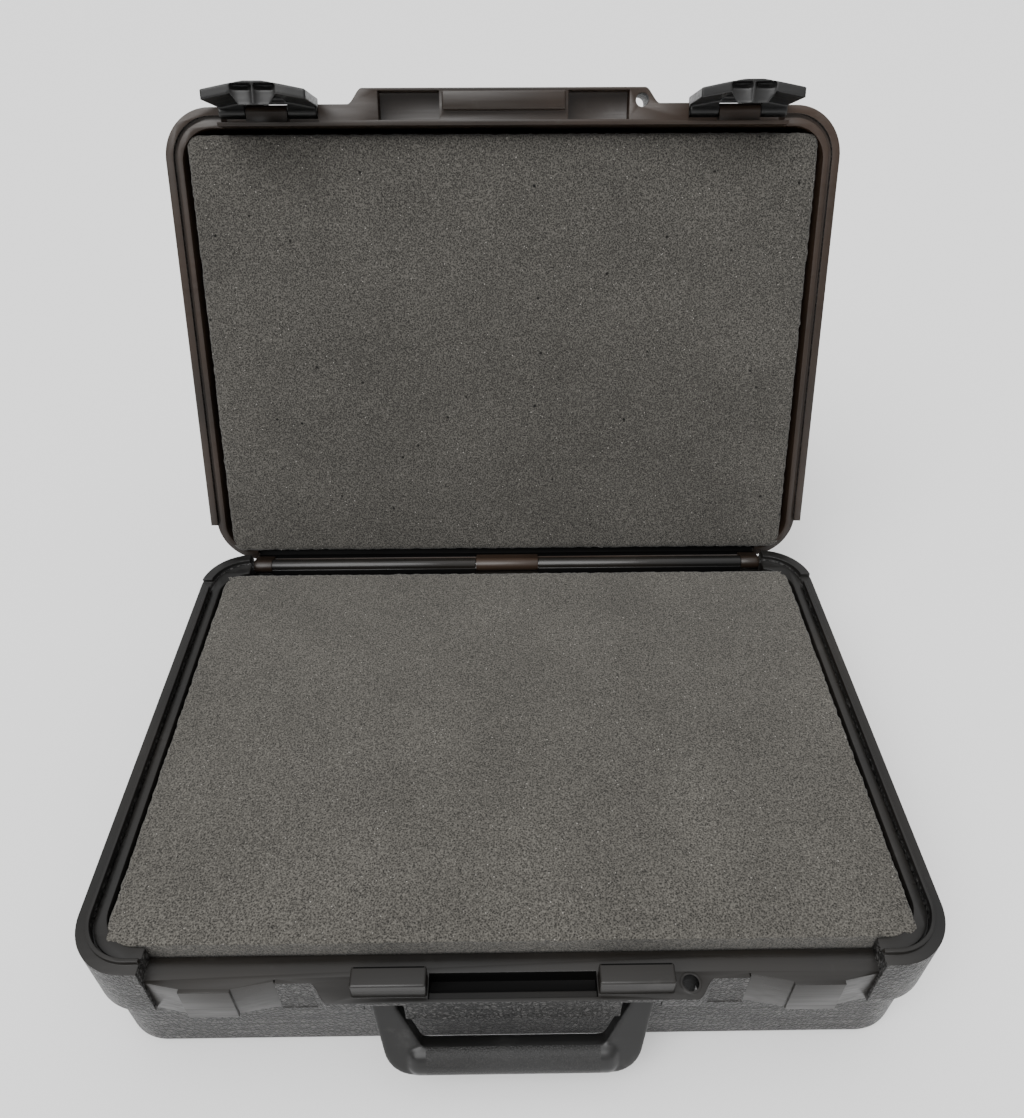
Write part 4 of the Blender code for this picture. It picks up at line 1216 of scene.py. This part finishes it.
@dataclass
class FoamBlock:
    """An open-cell foam block with an uneven face and torn edges."""

    name: str
    body: Body
    node: str
    half_width: float
    y: Span
    z: Span
    face_up: bool
    radius: float = 7.0
    voxel: float = 2.1
    ripple: float = 0.32
    tear: float = 0.75
    tear_width: float = 9.0
    tear_depth: float = 20.0
    waves_per_mm: tuple[float, float, float] = (0.021, 0.21, 0.62)
    crumb_radius: float = 0.42
    crumbs_per_square_metre: float = 9000.0
    seed: int = 3

    def _edge_closeness(self, x: float, y: float) -> float:
        """1 at the outline of the face, 0 from tear_width inside it."""
        inside = min(self.half_width - abs(x), y - self.y[0], self.y[1] - y)
        return max(0.0, 1.0 - inside / self.tear_width)

    def _roughen(self, block: Solid) -> None:
        """Waves every side and tears the edges of the open face."""
        face_z = self.z[1] if self.face_up else self.z[0]
        shifts = [Vector(row) * self.seed for row in np.identity(3)]
        builder = bmesh.new()
        builder.from_mesh(block.data)
        builder.normal_update()
        for vert in builder.verts:
            spot = vert.co / MM
            near_face = max(0.0, 1.0 - abs(spot.z - face_z) / self.tear_depth)
            coarse, fine, grain = (
                noise.noise(spot * wave + shift)
                for wave, shift in zip(self.waves_per_mm, shifts)
            )
            edge = self._edge_closeness(spot.x, spot.y)
            push = self.ripple * (0.55 * coarse + 0.5 * fine + 0.35 * grain)
            push += self.tear * edge * near_face * (0.6 * fine + 0.7 * grain - 0.25)
            vert.co += vert.normal * push * MM
        builder.to_mesh(block.data)
        builder.free()

    def _crumb_tree(self, crumb: Solid, finish: Finish) -> bpy.types.NodeTree:
        """A node tree that scatters crumbs of torn foam over the face.

        Args:
            crumb: the crumb that is repeated.
            finish: the crumbs' material.

        Returns:
            The tree, whose inputs are Density, Seed and Facing.
        """
        tree = bpy.data.node_groups.new(self.name + "_crumbs", "GeometryNodeTree")
        sockets = tree.interface
        inputs = {"Geometry": "Geometry", "Density": "Float", "Seed": "Int", "Facing": "Float"}
        for name, kind in inputs.items():
            sockets.new_socket(name, in_out="INPUT", socket_type="NodeSocket" + kind)
        sockets.new_socket("Geometry", in_out="OUTPUT", socket_type="NodeSocketGeometry")
        entry = tree.nodes.new("NodeGroupInput")
        entry.label = "foam block and its settings"
        leave = tree.nodes.new("NodeGroupOutput")
        leave.label = "loose crumbs"
        normal = tree.nodes.new("GeometryNodeInputNormal")
        normal.label = "way each face looks"
        split = tree.nodes.new("ShaderNodeSeparateXYZ")
        split.label = "how far it looks up"
        toward = tree.nodes.new("ShaderNodeMath")
        toward.label = "up or down, as the face is"
        toward.operation = "MULTIPLY"
        facing = tree.nodes.new("FunctionNodeCompare")
        facing.data_type = "FLOAT"
        facing.operation = "GREATER_THAN"
        facing.inputs["B"].default_value = 0.5
        facing.label = "only the open face"
        points = tree.nodes.new("GeometryNodeDistributePointsOnFaces")
        points.label = "crumb places"
        points.distribute_method = "RANDOM"
        info = tree.nodes.new("GeometryNodeObjectInfo")
        info.label = "one crumb"
        info.inputs["Object"].default_value = crumb
        spin = tree.nodes.new("FunctionNodeRandomValue")
        spin.label = "any way round"
        spin.data_type = "FLOAT_VECTOR"
        spin.inputs["Max"].default_value = (6.28, 6.28, 6.28)
        size = tree.nodes.new("FunctionNodeRandomValue")
        size.label = "a third to full size"
        size.data_type = "FLOAT"
        size.inputs[2].default_value = 0.35
        size.inputs[3].default_value = 1.0
        place = tree.nodes.new("GeometryNodeInstanceOnPoints")
        place.label = "crumb at every place"
        real = tree.nodes.new("GeometryNodeRealizeInstances")
        real.label = "plain mesh"
        colour = tree.nodes.new("GeometryNodeSetMaterial")
        colour.label = "pale torn foam"
        colour.inputs["Material"].default_value = finish
        link = tree.links.new
        link(normal.outputs[0], split.inputs[0])
        link(split.outputs["Z"], toward.inputs[0])
        link(entry.outputs["Facing"], toward.inputs[1])
        link(toward.outputs[0], facing.inputs["A"])
        link(entry.outputs["Geometry"], points.inputs["Mesh"])
        link(facing.outputs["Result"], points.inputs["Selection"])
        link(entry.outputs["Density"], points.inputs["Density"])
        link(entry.outputs["Seed"], points.inputs["Seed"])
        link(points.outputs["Points"], place.inputs["Points"])
        link(info.outputs["Geometry"], place.inputs["Instance"])
        link(spin.outputs["Value"], place.inputs["Rotation"])
        link(size.outputs[1], place.inputs["Scale"])
        link(place.outputs["Instances"], real.inputs["Geometry"])
        link(real.outputs["Geometry"], colour.inputs["Geometry"])
        link(colour.outputs["Geometry"], leave.inputs["Geometry"])
        which = tree.nodes.new("NodeFrame")
        which.label = "which faces and where"
        what = tree.nodes.new("NodeFrame")
        what.label = "one crumb, turned and sized by chance"
        set_out((None, (entry, place, real, colour, leave)),
                (which, (normal, split, toward, facing, points)),
                (what, (info, spin, size)))
        return tree

    def _crumbs(self, block: Solid, finish: Finish) -> Solid:
        """The loose crumbs on the face, as one plain mesh."""
        builder = bmesh.new()
        bmesh.ops.create_icosphere(builder, subdivisions=1, radius=self.crumb_radius * MM)
        for vert in builder.verts:
            vert.co *= 1.0 + 0.5 * noise.noise(vert.co / MM * 3.0)
        crumb = BENCH.from_bmesh(builder, self.name + "_crumb")
        holder = bpy.data.objects.new(self.name + "_crumbs", block.data.copy())
        BENCH.shelf.objects.link(holder)
        tree = self._crumb_tree(crumb, finish)
        modifier = holder.modifiers.new("crumbs", "NODES")
        modifier.node_group = tree
        keys = {item.name: item.identifier for item in tree.interface.items_tree
                if item.in_out == "INPUT"}
        modifier[keys["Density"]] = self.crumbs_per_square_metre
        modifier[keys["Seed"]] = self.seed
        modifier[keys["Facing"]] = 1.0 if self.face_up else -1.0
        BENCH.bake(holder)
        bpy.data.objects.remove(crumb, do_unlink=True)
        return holder

    def build(self, finish: Finish, crumb_finish: Finish, turn: Matrix | None) -> Solid:
        """Makes the foam block and its crumbs.

        Args:
            finish: foam material.
            crumb_finish: material of the crumbs.
            turn: the turn that opens the lid, for the lid's block.

        Returns:
            The finished block.
        """
        block = BENCH.slab(self.name, (-self.half_width, self.half_width), self.y, self.z,
                           self.radius)
        remesh = block.modifiers.new("even_skin", "REMESH")
        remesh.mode = "VOXEL"
        remesh.voxel_size = self.voxel * MM
        BENCH.bake(block)
        self._roughen(block)
        crumbs = self._crumbs(block, crumb_finish)
        paint(block, [finish])
        piece = as_piece(block, self.name, self.body, [self.node], turn, angle=180.0)
        loose = as_piece(crumbs, self.name + "_crumbs", self.body, [], turn, angle=180.0)
        return piece


# ---------------------------------------------------------------- finishes

@dataclass(frozen=True)
class PlasticFinish:
    """A moulded black plastic.

    Attributes:
        name: material name.
        colour: base colour.
        tint: colour of the faint brown cast.
        roughness: middle roughness.
        grain: size of the pebbles per metre, 0 for none.
        grain_depth: height of the pebbles in metres.
        streaks: strength of the flow streaks.
        scuffs: strength of pale scuffs.
        edge_radius: radius of the softened edge highlight in metres.
        ridge_highlight: how pale the tops of the pebbles are painted, a painted highlight on the
            ridges.
        specular: strength of the plain reflection.
    """

    name: str
    colour: Colour = (0.0065, 0.0063, 0.006)
    tint: Colour = (0.013, 0.011, 0.009)
    roughness: float = 0.42
    grain: float = 0.0
    grain_depth: float = 0.0
    streaks: float = 0.5
    scuffs: float = 0.1
    edge_radius: float = 0.0006
    ridge_highlight: float = 0.5
    specular: float = 0.5


@dataclass(frozen=True)
class FoamFinish:
    """An open-cell foam.

    Attributes:
        name: material name.
        dark: colour in the cells.
        light: colour of the struts.
        cell: cells per metre.
        depth: depth of the cells in metres.
        pores: strength of the sparse dark pores, painted shade that stands for holes in the foam.
    """

    name: str
    dark: Colour = (0.018, 0.017, 0.015)
    light: Colour = (0.125, 0.118, 0.104)
    cell: float = 1150.0
    depth: float = 0.0006
    pores: float = 1.0


def moulded_plastic(finish: PlasticFinish) -> Finish:
    """Black moulded plastic with pebbles, flow streaks, a brown cast, pale scuffs and a painted
    highlight on the pebble ridges.

    Args:
        finish: its settings.

    Returns:
        The material.
    """
    material = bpy.data.materials.new(finish.name)
    material.use_nodes = True
    tree = material.node_tree
    tree.nodes.clear()
    new, link = tree.nodes.new, tree.links.new

    out = new("ShaderNodeOutputMaterial")
    out.label = "surface"
    shader = new("ShaderNodeBsdfPrincipled")
    shader.label = "moulded plastic"
    shader.inputs["IOR"].default_value = 1.43
    shader.inputs["Specular IOR Level"].default_value = finish.specular
    coords = new("ShaderNodeTexCoord")
    coords.label = "object space"

    cast_frame = new("NodeFrame")
    cast_frame.label = "brown cast and cloudiness"
    cloud = new("ShaderNodeTexNoise")
    cloud.label = "slow cloud"
    cloud.inputs["Scale"].default_value = 9.0
    cloud.inputs["Detail"].default_value = 4.0
    cloud_ramp = new("ShaderNodeValToRGB")
    cloud_ramp.label = "where the cast shows"
    cloud_ramp.color_ramp.elements[0].position = 0.38
    cloud_ramp.color_ramp.elements[1].position = 0.72
    cast = new("ShaderNodeMix")
    cast.data_type = "RGBA"
    cast.label = "black to brown cast"
    cast.inputs[6].default_value = (*finish.colour, 1.0)
    cast.inputs[7].default_value = (*finish.tint, 1.0)
    link(coords.outputs["Object"], cloud.inputs["Vector"])
    link(cloud.outputs["Fac"], cloud_ramp.inputs["Fac"])
    link(cloud_ramp.outputs["Color"], cast.inputs[0])

    streak_frame = new("NodeFrame")
    streak_frame.label = "flow streaks"
    stretch = new("ShaderNodeMapping")
    stretch.label = "long in X"
    stretch.inputs["Scale"].default_value = (14.0, 420.0, 420.0)
    streak = new("ShaderNodeTexNoise")
    streak.label = "streaks along the mould flow"
    streak.inputs["Scale"].default_value = 1.0
    streak.inputs["Detail"].default_value = 3.0
    streak.inputs["Distortion"].default_value = 0.6
    link(coords.outputs["Object"], stretch.inputs["Vector"])
    link(stretch.outputs["Vector"], streak.inputs["Vector"])

    scuff_and_highlight_frame = new("NodeFrame")
    scuff_and_highlight_frame.label = "pale scuffs and painted ridge highlight"
    patch = new("ShaderNodeTexNoise")
    patch.label = "scuff patches"
    patch.inputs["Scale"].default_value = 38.0
    patch.inputs["Detail"].default_value = 6.0
    patch.inputs["Roughness"].default_value = 0.7
    patch_ramp = new("ShaderNodeValToRGB")
    patch_ramp.label = "where the scuffs are"
    patch_ramp.color_ramp.elements[0].position = 0.60
    patch_ramp.color_ramp.elements[1].position = 0.78
    scuff = new("ShaderNodeMath")
    scuff.label = "how pale the scuffs are"
    scuff.operation = "MULTIPLY"
    scuff.inputs[1].default_value = finish.scuffs
    # This mix turns faces towards the pale colour for the scuffs, and on pebbled plastics also for
    # the painted ridge highlight.
    scuffs_and_highlight = new("ShaderNodeMix")
    scuffs_and_highlight.data_type = "RGBA"
    scuffs_and_highlight.label = "scuffed and highlighted colour"
    scuffs_and_highlight.inputs[7].default_value = (0.14, 0.135, 0.13, 1.0)
    link(coords.outputs["Object"], patch.inputs["Vector"])
    link(patch.outputs["Fac"], patch_ramp.inputs["Fac"])
    link(patch_ramp.outputs["Color"], scuff.inputs[0])
    link(scuff.outputs[0], scuffs_and_highlight.inputs[0])
    link(cast.outputs[2], scuffs_and_highlight.inputs[6])
    link(scuffs_and_highlight.outputs[2], shader.inputs["Base Color"])

    sheen_frame = new("NodeFrame")
    sheen_frame.label = "uneven sheen"
    sheen = new("ShaderNodeMapRange")
    sheen.label = "streaks dull the sheen"
    sheen.inputs["From Min"].default_value = 0.3
    sheen.inputs["From Max"].default_value = 0.7
    sheen.inputs["To Min"].default_value = finish.roughness - 0.07
    sheen.inputs["To Max"].default_value = finish.roughness + 0.09
    link(streak.outputs["Fac"], sheen.inputs["Value"])
    link(sheen.outputs["Result"], shader.inputs["Roughness"])

    relief_frame = new("NodeFrame")
    relief_frame.label = "surface relief"
    edge = new("ShaderNodeBevel")
    edge.label = "softens the moulded edges"
    edge.samples = 4
    edge.inputs["Radius"].default_value = finish.edge_radius
    flow = new("ShaderNodeBump")
    flow.label = "streak relief"
    flow.inputs["Strength"].default_value = finish.streaks
    flow.inputs["Distance"].default_value = 0.00006
    link(edge.outputs["Normal"], flow.inputs["Normal"])
    link(streak.outputs["Fac"], flow.inputs["Height"])
    last = flow
    scuff_and_highlight_nodes, relief = [patch, patch_ramp, scuff, scuffs_and_highlight], [edge, flow]
    if finish.grain:
        warp = new("ShaderNodeTexNoise")
        warp.label = "warps the pebbles"
        warp.inputs["Scale"].default_value = finish.grain * 0.5
        warp.inputs["Detail"].default_value = 2.0
        shift = new("ShaderNodeVectorMath")
        shift.label = "bent pebble coordinates"
        shift.operation = "MULTIPLY_ADD"
        shift.inputs[1].default_value = (0.0016, 0.0016, 0.0016)
        pebble = new("ShaderNodeTexVoronoi")
        pebble.label = "pebble cells"
        pebble.feature = "DISTANCE_TO_EDGE"
        pebble.inputs["Scale"].default_value = finish.grain
        crease = new("ShaderNodeMapRange")
        crease.label = "creases between pebbles"
        crease.inputs["From Max"].default_value = 0.24
        wrinkle = new("ShaderNodeTexNoise")
        wrinkle.label = "wrinkles"
        wrinkle.inputs["Scale"].default_value = finish.grain * 1.3
        wrinkle.inputs["Detail"].default_value = 5.0
        wrinkle.inputs["Distortion"].default_value = 1.2
        both = new("ShaderNodeMath")
        both.operation = "MULTIPLY_ADD"
        both.label = "wrinkles over faint pebbles"
        both.inputs[1].default_value = 0.28
        pebbles = new("ShaderNodeBump")
        pebbles.label = "pebble relief"
        pebbles.inputs["Strength"].default_value = 1.0
        pebbles.inputs["Distance"].default_value = finish.grain_depth
        link(coords.outputs["Object"], warp.inputs["Vector"])
        link(warp.outputs["Color"], shift.inputs[0])
        link(coords.outputs["Object"], shift.inputs[2])
        link(shift.outputs[0], pebble.inputs["Vector"])
        link(pebble.outputs["Distance"], crease.inputs["Value"])
        link(coords.outputs["Object"], wrinkle.inputs["Vector"])
        link(crease.outputs["Result"], both.inputs[0])
        link(wrinkle.outputs["Fac"], both.inputs[2])
        link(both.outputs[0], pebbles.inputs["Height"])
        # The pebble ridges are painted paler: a painted highlight where light would catch the raised
        # grain.
        ridge = new("ShaderNodeMapRange")
        ridge.label = "paler ridges"
        ridge.inputs["From Min"].default_value = 0.62
        ridge.inputs["From Max"].default_value = 0.96
        ridge.inputs["To Max"].default_value = finish.ridge_highlight
        raised = new("ShaderNodeMath")
        raised.label = "scuffs and painted ridge highlight"
        raised.operation = "ADD"
        raised.use_clamp = True
        link(both.outputs[0], ridge.inputs["Value"])
        link(scuff.outputs[0], raised.inputs[0])
        link(ridge.outputs["Result"], raised.inputs[1])
        link(raised.outputs[0], scuffs_and_highlight.inputs[0])
        link(flow.outputs["Normal"], pebbles.inputs["Normal"])
        scuff_and_highlight_nodes.append(raised)
        relief += [warp, shift, pebble, crease, wrinkle, both, ridge, pebbles]
        last = pebbles
    link(last.outputs["Normal"], shader.inputs["Normal"])
    link(shader.outputs["BSDF"], out.inputs["Surface"])
    set_out(
        (None, (coords, shader, out)),
        (cast_frame, (cloud, cloud_ramp, cast)),
        (streak_frame, (stretch, streak)),
        (scuff_and_highlight_frame, scuff_and_highlight_nodes),
        (sheen_frame, (sheen,)),
        (relief_frame, relief),
    )
    return material


def open_cell_foam(finish: FoamFinish) -> Finish:
    """Charcoal foam: fine light and dark cells, slow clouds and sparse dark pores painted as shade
    in holes.

    Args:
        finish: its settings.

    Returns:
        The material.
    """
    material = bpy.data.materials.new(finish.name)
    material.use_nodes = True
    tree = material.node_tree
    tree.nodes.clear()
    new, link = tree.nodes.new, tree.links.new

    out = new("ShaderNodeOutputMaterial")
    out.label = "surface"
    shader = new("ShaderNodeBsdfPrincipled")
    shader.label = "dull foam"
    shader.inputs["Specular IOR Level"].default_value = 0.15
    shader.inputs["Sheen Weight"].default_value = 0.12
    shader.inputs["Roughness"].default_value = 0.95
    coords = new("ShaderNodeTexCoord")
    coords.label = "object space"

    cell_frame = new("NodeFrame")
    cell_frame.label = "cells"
    speckle = new("ShaderNodeTexNoise")
    speckle.label = "fine speckle"
    speckle.inputs["Scale"].default_value = finish.cell
    speckle.inputs["Detail"].default_value = 3.0
    speckle.inputs["Roughness"].default_value = 0.7
    cells = new("ShaderNodeTexVoronoi")
    cells.label = "cell walls"
    cells.inputs["Scale"].default_value = finish.cell * 0.8
    mixed = new("ShaderNodeMath")
    mixed.label = "speckle over cell walls"
    mixed.operation = "MULTIPLY_ADD"
    mixed.inputs[1].default_value = 0.45
    spread = new("ShaderNodeMapRange")
    spread.label = "contrast of the cells"
    spread.inputs["From Min"].default_value = 0.52
    spread.inputs["From Max"].default_value = 0.92
    tone = new("ShaderNodeMix")
    tone.data_type = "RGBA"
    tone.label = "cell to strut"
    tone.inputs[6].default_value = (*finish.dark, 1.0)
    tone.inputs[7].default_value = (*finish.light, 1.0)
    link(coords.outputs["Object"], speckle.inputs["Vector"])
    link(coords.outputs["Object"], cells.inputs["Vector"])
    link(cells.outputs["Distance"], mixed.inputs[0])
    link(speckle.outputs["Fac"], mixed.inputs[2])
    link(mixed.outputs[0], spread.inputs["Value"])
    link(spread.outputs["Result"], tone.inputs[0])

    cloud_frame = new("NodeFrame")
    cloud_frame.label = "slow clouds"
    cloud = new("ShaderNodeTexNoise")
    cloud.label = "slow unevenness"
    cloud.inputs["Scale"].default_value = 16.0
    cloud.inputs["Detail"].default_value = 5.0
    shade = new("ShaderNodeMapRange")
    shade.label = "how much it darkens"
    shade.inputs["From Min"].default_value = 0.3
    shade.inputs["From Max"].default_value = 0.7
    shade.inputs["To Min"].default_value = 0.88
    shade.inputs["To Max"].default_value = 1.1
    clouded = new("ShaderNodeMix")
    clouded.label = "clouded foam"
    clouded.data_type = "RGBA"
    clouded.blend_type = "MULTIPLY"
    clouded.inputs[0].default_value = 1.0
    link(coords.outputs["Object"], cloud.inputs["Vector"])
    link(cloud.outputs["Fac"], shade.inputs["Value"])
    link(tone.outputs[2], clouded.inputs[6])
    link(shade.outputs["Result"], clouded.inputs[7])

    # Round dark spots stand for holes in the foam that the mesh does not have: painted shade.
    pore_frame = new("NodeFrame")
    pore_frame.label = "sparse dark pores"
    pores = new("ShaderNodeTexVoronoi")
    pores.label = "places of the pores"
    pores.inputs["Scale"].default_value = 55.0
    hole = new("ShaderNodeMapRange")
    hole.label = "round dark pores"
    hole.inputs["From Min"].default_value = 0.045
    hole.inputs["From Max"].default_value = 0.07
    hole.inputs["To Min"].default_value = 1.0 - finish.pores
    hole.inputs["To Max"].default_value = 1.0
    holed = new("ShaderNodeMix")
    holed.label = "foam with pores"
    holed.data_type = "RGBA"
    holed.blend_type = "MULTIPLY"
    holed.inputs[0].default_value = 0.85
    link(coords.outputs["Object"], pores.inputs["Vector"])
    link(pores.outputs["Distance"], hole.inputs["Value"])
    link(clouded.outputs[2], holed.inputs[6])
    link(hole.outputs["Result"], holed.inputs[7])
    link(holed.outputs[2], shader.inputs["Base Color"])

    relief_frame = new("NodeFrame")
    relief_frame.label = "cell relief"
    relief = new("ShaderNodeBump")
    relief.label = "rough cut face"
    relief.inputs["Strength"].default_value = 0.8
    relief.inputs["Distance"].default_value = finish.depth
    link(mixed.outputs[0], relief.inputs["Height"])
    link(relief.outputs["Normal"], shader.inputs["Normal"])
    link(shader.outputs["BSDF"], out.inputs["Surface"])
    set_out(
        (None, (coords, shader, out)),
        (cell_frame, (speckle, cells, mixed, spread, tone)),
        (cloud_frame, (cloud, shade, clouded)),
        (pore_frame, (pores, hole, holed)),
        (relief_frame, (relief,)),
    )
    return material


def turned_steel(name: str) -> Finish:
    """Plain steel wire with fine turning marks."""
    material = bpy.data.materials.new(name)
    material.use_nodes = True
    tree = material.node_tree
    tree.nodes.clear()
    new, link = tree.nodes.new, tree.links.new
    out = new("ShaderNodeOutputMaterial")
    out.label = "surface"
    shader = new("ShaderNodeBsdfPrincipled")
    shader.label = "bare wire"
    shader.inputs["Base Color"].default_value = (0.46, 0.46, 0.47, 1.0)
    shader.inputs["Metallic"].default_value = 1.0
    frame_marks = new("NodeFrame")
    frame_marks.label = "turning marks"
    coords = new("ShaderNodeTexCoord")
    coords.label = "object space"
    marks = new("ShaderNodeTexNoise")
    marks.label = "fine marks"
    marks.inputs["Scale"].default_value = 700.0
    polish = new("ShaderNodeMapRange")
    polish.label = "bright to dull"
    polish.inputs["To Min"].default_value = 0.25
    polish.inputs["To Max"].default_value = 0.5
    link(coords.outputs["Object"], marks.inputs["Vector"])
    link(marks.outputs["Fac"], polish.inputs["Value"])
    link(polish.outputs["Result"], shader.inputs["Roughness"])
    link(shader.outputs["BSDF"], out.inputs["Surface"])
    set_out((None, (coords, shader, out)), (frame_marks, (marks, polish)))
    return material


# ---------------------------------------------------------------- studio

@dataclass
class Studio:
    """Pale floor, soft light and the camera."""

    camera_at: tuple[float, float, float] = (-3.1, -377.0, 544.8)
    pitch: float = 40.21
    yaw: float = -0.74
    roll: float = 0.03
    lens: float = 31.71
    floor_half: float = 25.0
    sky: tuple[tuple[float, float], ...] = ((0.0, 0.42), (0.3, 0.58), (0.64, 0.85), (1.0, 1.7))
    sun_from: tuple[float, float, float] = (-0.30, -0.55, 0.80)
    sun_power: float = 3.0
    sun_spread: float = 50.0

    def _floor(self) -> None:
        """A plain pale floor under the case."""
        builder = bmesh.new()
        bmesh.ops.create_grid(builder, x_segments=1, y_segments=1, size=self.floor_half)
        mesh = bpy.data.meshes.new("floor")
        builder.to_mesh(mesh)
        builder.free()
        floor = bpy.data.objects.new("floor", mesh)
        bpy.context.scene.collection.objects.link(floor)
        floor.location.z = -0.0002
        material = bpy.data.materials.new("floor_paper")
        material.use_nodes = True
        shader = material.node_tree.nodes["Principled BSDF"]
        shader.inputs["Base Color"].default_value = (0.92, 0.92, 0.92, 1.0)
        shader.inputs["Roughness"].default_value = 0.9
        mesh.materials.append(material)

    def _light(self) -> None:
        """A surround that brightens upwards, and one very soft sun."""
        world = bpy.data.worlds.new("surround")
        world.use_nodes = True
        tree = world.node_tree
        backdrop = tree.nodes["Background"]
        direction = tree.nodes.new("ShaderNodeTexCoord")
        direction.label = "where the sky is looked at"
        height = tree.nodes.new("ShaderNodeSeparateXYZ")
        height.label = "how high that is"
        climb = tree.nodes.new("ShaderNodeValToRGB")
        climb.label = "dim at the horizon, bright overhead"
        brightest = max(stop[1] for stop in self.sky)
        stops = climb.color_ramp.elements
        while len(stops) < len(self.sky):
            stops.new(0.5)
        for stop, (position, level) in zip(stops, self.sky):
            stop.position = position
            shade = level / brightest
            stop.color = (shade, shade, shade, 1.0)
        backdrop.inputs["Strength"].default_value = brightest
        tree.links.new(direction.outputs["Generated"], height.inputs["Vector"])
        tree.links.new(height.outputs["Z"], climb.inputs["Fac"])
        tree.links.new(climb.outputs["Color"], backdrop.inputs["Color"])
        set_out((None, (direction, height, climb)))
        bpy.context.scene.world = world
        data = bpy.data.lights.new("soft_sun", "SUN")
        data.energy = self.sun_power
        data.angle = math.radians(self.sun_spread)
        lamp = bpy.data.objects.new("soft_sun", data)
        aim = -Vector(self.sun_from)
        lamp.rotation_euler = aim.to_track_quat("-Z", "Y").to_euler()
        bpy.context.scene.collection.objects.link(lamp)

    def _camera(self) -> None:
        """The camera, from its pitch, yaw and roll in degrees."""
        pitch, yaw, roll = (math.radians(a) for a in (self.pitch, self.yaw, self.roll))
        turn = Matrix.Rotation(yaw, 3, "Z")
        forward = turn @ Vector((0, math.cos(pitch), -math.sin(pitch)))
        down = turn @ Vector((0, -math.sin(pitch), -math.cos(pitch)))
        right = turn @ Vector((1, 0, 0))
        right, down = (
            math.cos(roll) * right + math.sin(roll) * down,
            -math.sin(roll) * right + math.cos(roll) * down,
        )
        data = bpy.data.cameras.new("camera")
        data.sensor_fit = "HORIZONTAL"
        data.sensor_width = 36.0
        data.lens = self.lens
        data.clip_start = 0.01
        camera = bpy.data.objects.new("camera", data)
        axes = Matrix((right, -down, -forward)).transposed()
        camera.matrix_world = Matrix.Translation(Vector(self.camera_at) * MM) @ axes.to_4x4()
        bpy.context.scene.collection.objects.link(camera)
        bpy.context.scene.camera = camera

    def build(self) -> None:
        """Sets up the floor, the light and the camera."""
        self._floor()
        self._light()
        self._camera()


# ---------------------------------------------------------------- the case

# The pebble ridges of this finish are painted paler: a painted highlight.
PEBBLED = PlasticFinish("pebbled_shell_plastic", colour=(0.004, 0.004, 0.0038),
                        tint=(0.009, 0.008, 0.007), roughness=0.40, grain=340.0,
                        grain_depth=0.0016, streaks=0.1, scuffs=0.08, ridge_highlight=0.6)
SATIN = PlasticFinish("satin_shell_plastic", roughness=0.34)
BROWNED = PlasticFinish("browned_lid_plastic", colour=(0.014, 0.009, 0.006),
                        tint=(0.034, 0.021, 0.014), roughness=0.36)
BARREL = PlasticFinish("barrel_plastic", roughness=0.22, streaks=0.7, scuffs=0.1)
FITTING = PlasticFinish("fitting_plastic", tint=(0.016, 0.016, 0.016), roughness=0.38,
                        streaks=0.15, scuffs=0.16)
# A near-black, dull copy of the shell plastic for the slot, gutter, pockets, lock hole and the lid's
# back step: painted shade.
RECESS_SHADE = PlasticFinish("painted_recess_shade", colour=(0.002, 0.002, 0.002),
                       tint=(0.003, 0.0028, 0.0026), roughness=0.6, streaks=0.2, scuffs=0.0,
                       specular=0.12)
# The grip's pebble ridges are painted slightly paler: a painted highlight.
GRIP = PlasticFinish("grip_plastic", tint=(0.014, 0.014, 0.014), roughness=0.5, grain=800.0,
                     grain_depth=0.0003, streaks=0.1, scuffs=0.12, ridge_highlight=0.12)
# The lid's foam is the base foam made darker all over: painted shade, for the lid face that is
# turned away from the overhead light.
SHADED_LID_FOAM = FoamFinish("lid_foam_with_painted_shade", dark=(0.012, 0.0112, 0.010),
                      light=(0.098, 0.093, 0.083), pores=1.0)
BASE_FOAM = FoamFinish("base_foam_cells", pores=0.5)
CRUMB = FoamFinish("foam_crumbs", dark=(0.10, 0.095, 0.085), light=(0.42, 0.40, 0.37), pores=0.0)


def build_case() -> None:
    """Builds every piece of the case, in order."""
    # recess is the near-black plastic that paints shade into the deep spots.
    pebbled, satin, browned, barrel, recess = (
        moulded_plastic(item) for item in (PEBBLED, SATIN, BROWNED, BARREL, RECESS_SHADE)
    )
    fitting, grip = moulded_plastic(FITTING), moulded_plastic(GRIP)
    crumb = open_cell_foam(CRUMB)
    BaseShell().build([pebbled, satin, barrel, recess])
    LidShell().build([pebbled, browned, recess])
    Latch(Side.LEFT, Body.LATCH_LEFT, "latch_left").build(fitting)
    Latch(Side.RIGHT, Body.LATCH_RIGHT, "latch_right").build(fitting)
    CarryHandle().build([fitting, grip])
    FoamBlock(
        "base_foam_pad", Body.BASE, "base_foam", 214.0, (-147.0, 144.5), (14.3, SIZE.rim - 1.2),
        face_up=True, seed=5,
    ).build(open_cell_foam(BASE_FOAM), crumb, None)
    FoamBlock(
        "lid_foam_pad", Body.LID, "lid_foam", 215.0, (-146.5, 151.5),
        (SIZE.rim + 0.6, SIZE.lid_top - 12.3), face_up=False, seed=11,
    ).build(open_cell_foam(SHADED_LID_FOAM), crumb, SIZE.lid_swing())
    steel = turned_steel("pin_steel")
    for name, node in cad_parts.items():
        if "pin" in name:
            for spot in node.material_slots:
                spot.material = steel
            LOG.info("%s: CAD node with a steel finish", name)


def main() -> None:
    """Builds the case and its studio."""
    logging.basicConfig(level=logging.INFO, format="%(name)s: %(message)s")
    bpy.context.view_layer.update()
    build_case()
    Studio().build()


if __name__ == "__main__":
    main()
